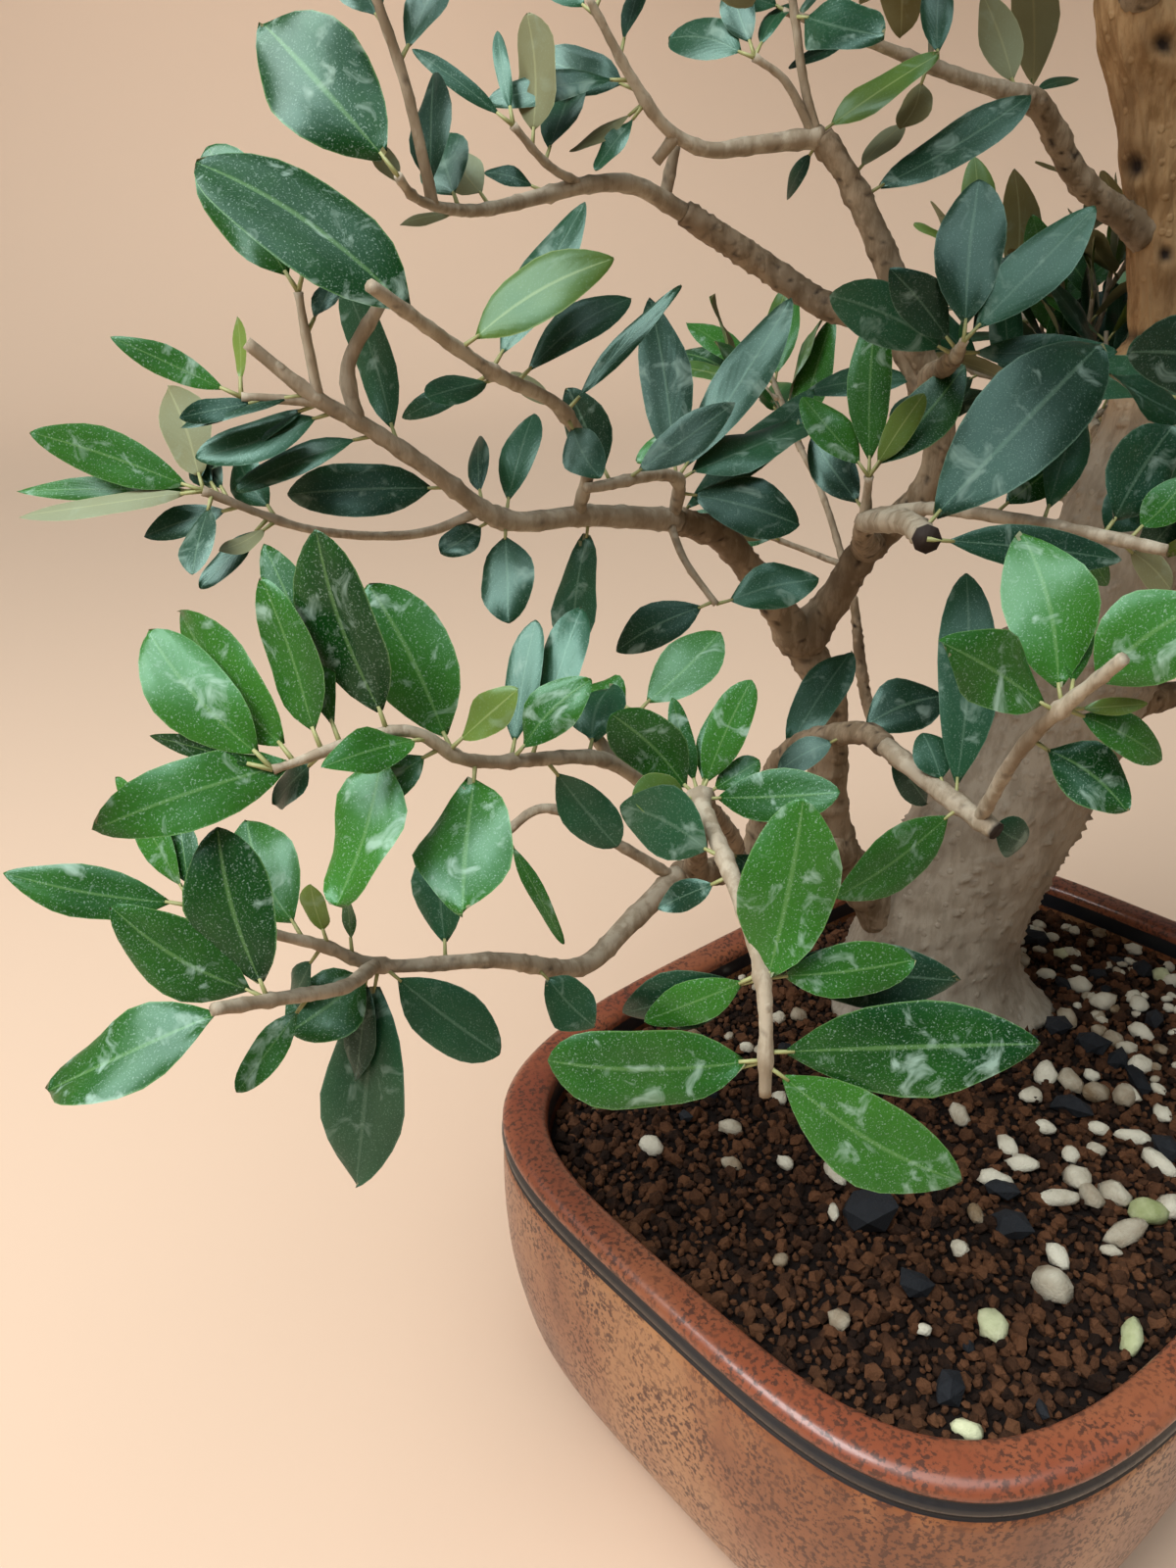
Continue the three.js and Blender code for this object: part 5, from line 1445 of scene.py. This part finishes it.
# The bits that lie in front: middle, length, width and bearing, in millimetres
CHARCOAL = [
    (-78, -18, 17, 15, 150), (-48, -50, 14, 11, 65), (-89, -44, 13, 10, 160), (-95, -65, 6, 4, 50),
    (-110, -69, 12, 8, 5), (-97, -88, 7, 4, 40), (-38, -40, 13, 7, 125), (58, -20, 14, 12, 85),
    (52, -41, 17, 8, 45), (20, -34, 17, 10, 105), (22, -66, 12, 10, 85), (112, 34, 13, 10, 140)]
MOSSY = [(-85, -66, 10, 8, 60), (-58, -93, 12, 6, 20), (-117, -79, 8, 6, 130), (-10, -75, 13, 10, 150)]
PUMICE = [
    (-112, -12, 5, 5, 90), (-116, -37, 7, 6, 75), (-100, -54, 5, 4, 125), (-73, -1, 11, 5, 70),
    (-86, -11, 7, 4, 45), (-81, 13, 7, 5, 75), (-94, 25, 7, 5, 100), (-81, 38, 9, 7, 125),
    (-52, -40, 8, 5, 55), (-67, -44, 6, 7, 140), (-28, -54, 13, 7, 130), (-35, -36, 12, 7, 135),
    (-60, -70, 11, 11, 160), (-48, -65, 10, 6, 60), (-23, -74, 16, 8, 165), (-33, -74, 7, 4, 125),
    (-2, -78, 12, 8, 15), (-11, -64, 10, 9, 75), (-14, -53, 10, 8, 50), (-18, -60, 10, 7, 60),
    (-22, -38, 11, 7, 130), (-17, -30, 10, 7, 65), (-5, -46, 8, 6, 25), (5, -50, 6, 6, 140),
    (2, -33, 8, 6, 115), (16, -45, 7, 6, 125), (-15, -10, 10, 6, 65), (39, -43, 9, 9, 140),
    (40, -56, 9, 6, 45), (21, -55, 12, 6, 120), (14, -67, 13, 7, 80), (32, -26, 12, 8, 50),
    (33, -35, 10, 8, 140), (29, -18, 11, 8, 25), (14, -21, 8, 7, 140), (67, -24, 8, 8, 140),
    (66, -30, 8, 7, 85), (89, -9, 15, 9, 160), (93, 3, 9, 8, 100), (91, 29, 9, 8, 130), (90, 16, 8, 6, 140),
    (-20, 69, 6, 6, 140), (-12, 65, 7, 7, 140), (-44, 64, 6, 5, 140)]
STRAY_PUMICE = 120
STRAY_CHARCOAL = 30
STRAY_MOSSY = 3
# Strays keep to the bed and off the trunk and the front, and crowd round a place on its right
BIT_EDGE = 0.97
BIT_CLEAR = 0.040
BIT_FLAT = 0.12
FRONT_EDGE = (0.03, 0.01)
CROWD_PLACE = (95, 0, 0)
CROWD_REACH = 0.075
CROWDING = 0.9


def share_of_oblong(x, y):
    """0 in the pot's middle and 1 at the soil's edge, in metres."""
    a, b = POT_LONG / 2 - SOIL_INSET, POT_WIDE / 2 - SOIL_INSET
    return (abs(x / a) ** PLAN_POWER + abs(y / b) ** PLAN_POWER) ** (1 / PLAN_POWER)


trunk_foot = part_points((lean_scale[0], 0, 0))


def soil_level(x, y):
    """The height of the soil's surface, which swells in long waves and is flat round the trunk."""
    away = (math.hypot(x - trunk_foot[0], y - trunk_foot[1]) / MILLI - FOOT_CLEAR) / FOOT_CLEAR
    fade = min(max(away, 0), 1) * min(max((1 - share_of_oblong(x, y)) / SWELL_EDGE, 0), 1)
    waves = 1 + math.sin(x / MILLI / SWELL_LONG) * math.cos(y / MILLI / SWELL_WIDE)
    return SOIL_TOP + SWELL * MILLI * fade * waves + 0.0005 * noise.noise((x * 130, y * 130, 5))


# The soil's body lies 2 mm under the granules; its near-black colour is painted shade in the gaps
bed_profile = [(0, FLOOR_THICK + 0.0003), (POT_WIDE / 2 - WALL_THICK - 0.0226, FLOOR_THICK + 0.0003),
               (POT_WIDE / 2 - WALL_THICK - 0.0126, FLOOR_THICK + 0.022)]
bed_profile += [((POT_WIDE / 2 - SOIL_INSET) * (1 - step / 40), SOIL_TOP) for step in range(41)]
bed_bm = spin_profile(bed_profile, PLAN_STEPS // 2)
for vert in bed_bm.verts:
    vert.co.x, vert.co.y = press_oblong(vert.co.x, vert.co.y)
    if vert.co.z > SOIL_TOP - MILLI:
        vert.co.z = soil_level(vert.co.x, vert.co.y) - 2 * MILLI
bmesh.ops.recalc_face_normals(bed_bm, faces=bed_bm.faces)
bed = add_object("soil_bed", mesh_of(bed_bm, "soil_bed"))


def spins(chance, bearings, count):
    """A turn for each grain: all ways, or to its bearing with a little tilt."""
    turns = chance.normal(size=(count, 4))
    if bearings is not None:
        half = np.radians(np.asarray(bearings)) / 2
        turns = np.stack((np.cos(half), 0.08 * turns[:, 1], 0.08 * turns[:, 2], np.sin(half)), axis=1)
    turns /= np.linalg.norm(turns, axis=1, keepdims=True)
    w, x, y, z = turns.T
    return np.stack([
        1 - 2 * (y * y + z * z), 2 * (x * y - z * w), 2 * (x * z + y * w),
        2 * (x * y + z * w), 1 - 2 * (x * x + z * z), 2 * (y * z - x * w),
        2 * (x * z - y * w), 2 * (y * z + x * w), 1 - 2 * (x * x + y * y)], axis=-1).reshape(count, 3, 3)


def scatter(name, spots, sizes, levels, rough, flat, seed, bearings=None, smooth=True):
    """Many grains on those spots, each turned, squeezed and knocked about by its own chance."""
    chance = np.random.default_rng(seed)
    bm = bmesh.new()
    bmesh.ops.create_icosphere(bm, subdivisions=levels, radius=1)
    corners = np.array([v.co[:] for v in bm.verts])
    faces = [tuple(v.index for v in face.verts) for face in bm.faces]
    bm.free()
    count = len(spots)
    sizes = np.asarray(sizes, dtype=float).reshape(count, 1, -1)
    squeeze = 1 + flat * (chance.random((count, 1, 3)) - 0.6)
    knock = 1 + rough * (chance.random((count, len(corners), 1)) - 0.5)
    shaped = corners[None] * squeeze * knock * sizes
    placed = np.einsum("nij,nkj->nki", spins(chance, bearings, count), shaped) + np.asarray(spots)[:, None]
    mesh = repeated_mesh(name, placed, faces, smooth=smooth)
    shade = mesh.attributes.new("shade", "FLOAT", "POINT")
    shade.data.foreach_set("value", np.repeat(chance.random(count), len(corners)))
    return add_object(name, mesh)


def clear_of_trunk(x, y, extra):
    """Whether a spot lies that far from the middle of the trunk's foot."""
    return math.hypot(x - trunk_foot[0], y - trunk_foot[1]) > extra


chance = np.random.default_rng(CLAY_SEED)
clay_spots = []
clay_sizes = []
for i in range(-60, 61):
    for j in range(-50, 51):
        x = (i + 0.5 * (j % 2)) * GRAIN_GAP + chance.normal() * GRAIN_STRAY
        y = j * GRAIN_GAP * 0.87 + chance.normal() * GRAIN_STRAY
        size = GRAIN_SIZE * (0.55 + 0.95 * chance.random() ** 2.2)
        lift = -GRAIN_SUNK + GRAIN_SUNK * chance.random()
        if share_of_oblong(x, y) < GRAIN_EDGE and clear_of_trunk(x, y, GRAIN_CLEAR):
            clay_spots.append((x, y, soil_level(x, y) + lift))
            clay_sizes.append(size)
clay = scatter("clay_granules", clay_spots, clay_sizes, levels=1, rough=0.5, flat=0.6, seed=6,
               smooth=False)


def laid_bits(rows, count, low, high, seed):
    """Spots, sizes and bearings of the bits in a list, and of strays, thicker to the trunk's right."""
    chance = np.random.default_rng(seed)
    spots = [(x * MILLI, y * MILLI) for x, y, _, _, _ in rows]
    sizes = [(long / 2, wide / 2, min(long, wide) * 0.4) for _, _, long, wide, _ in rows]
    bearings = [row[4] for row in rows]
    crowd_at = part_points(CROWD_PLACE)
    seen = np.array(spots)
    while len(spots) < len(rows) + count:
        x, y = (chance.random() - 0.5) * POT_LONG, (chance.random() - 0.5) * POT_WIDE
        near = math.exp(-(math.hypot(x - crowd_at[0], y - crowd_at[1]) / CROWD_REACH) ** 2)
        in_front = x < FRONT_EDGE[0] and y < FRONT_EDGE[1]
        if in_front or chance.random() > (1 - CROWDING) + CROWDING * near:
            continue
        if share_of_oblong(x, y) < BIT_EDGE and clear_of_trunk(x, y, BIT_CLEAR):
            size = low + (high - low) * chance.random() ** 2
            spots.append((x, y))
            sizes.append((size * (1 + 0.5 * chance.random()), size, size * 0.8))
            bearings.append(360 * chance.random())
    places = [(x, y, soil_level(x, y) + 0.3 * size[1] * MILLI) for (x, y), size in zip(spots, sizes)]
    return places, np.array(sizes) * MILLI, bearings


def bits_piece(name, rows, count, low, high, levels, rough, seed, smooth=True):
    """Bits of one kind on the soil, laid and strayed."""
    places, sizes, bearings = laid_bits(rows, count, low, high, seed)
    return scatter(name, places, sizes, levels, rough, BIT_FLAT, seed + 1, bearings, smooth)


pale = bits_piece("pumice_grains", PUMICE, STRAY_PUMICE, low=1.6, high=4.0, levels=2, rough=0.36, seed=7)
black = bits_piece("charcoal_bits", CHARCOAL, STRAY_CHARCOAL, low=2.4, high=6.0, levels=1, rough=0.6, seed=9,
                   smooth=False)
mossy = bits_piece("mossy_grains", MOSSY, STRAY_MOSSY, low=3.0, high=4.2, levels=2, rough=0.36, seed=11)


def grain_finish(name, low, high, lit, scale, rough, relief):
    """A matt mineral finish between two tones, of which few grains have the lighter one."""
    made, tree, shader = new_material(name)
    place = object_place(tree)
    summed = maths(tree, "ADD", noisy(tree, place, scale, 3), own_shade(tree))
    plug(tree, shader, [
        ("Base Color", mix_colour(tree, remap(tree, summed, lit, lit + 0.8), low, high)),
        ("Normal", bump(tree, noisy(tree, place, 1300, 4), relief, 0.0006)),
        ("Roughness", rough), ("Specular IOR Level", 0.2)])
    return made


# Darker and lighter tone, the sum of pattern and shade from which the lighter one comes in, the
# pattern's scale, roughness and relief
SOIL_LOOKS = [
    # The bed's near-black tones are painted shade between the granules
    (bed, "painted_shade_bed", (0.006, 0.003, 0.002, 1), (0.014, 0.006, 0.003, 1), 0.4, 260, 0.95, 0.6),
    (clay, "baked_clay", (0.012, 0.0050, 0.0023, 1), (0.100, 0.040, 0.017, 1), 0.6, 160, 0.9, 0.8),
    (pale, "pumice", (0.20, 0.135, 0.075, 1), (0.62, 0.57, 0.45, 1), 0.45, 150, 0.9, 0.8),
    (black, "charcoal", (0.006, 0.007, 0.009, 1), (0.018, 0.019, 0.022, 1), 0.4, 300, 0.85, 0.6),
    (mossy, "mossy_pumice", (0.26, 0.29, 0.12, 1), (0.60, 0.60, 0.38, 1), 0.5, 200, 0.8, 0.5),
]
for piece, *looks in SOIL_LOOKS:
    piece.data.materials.append(grain_finish(*looks))
    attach(piece, "root")
    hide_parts("soil")
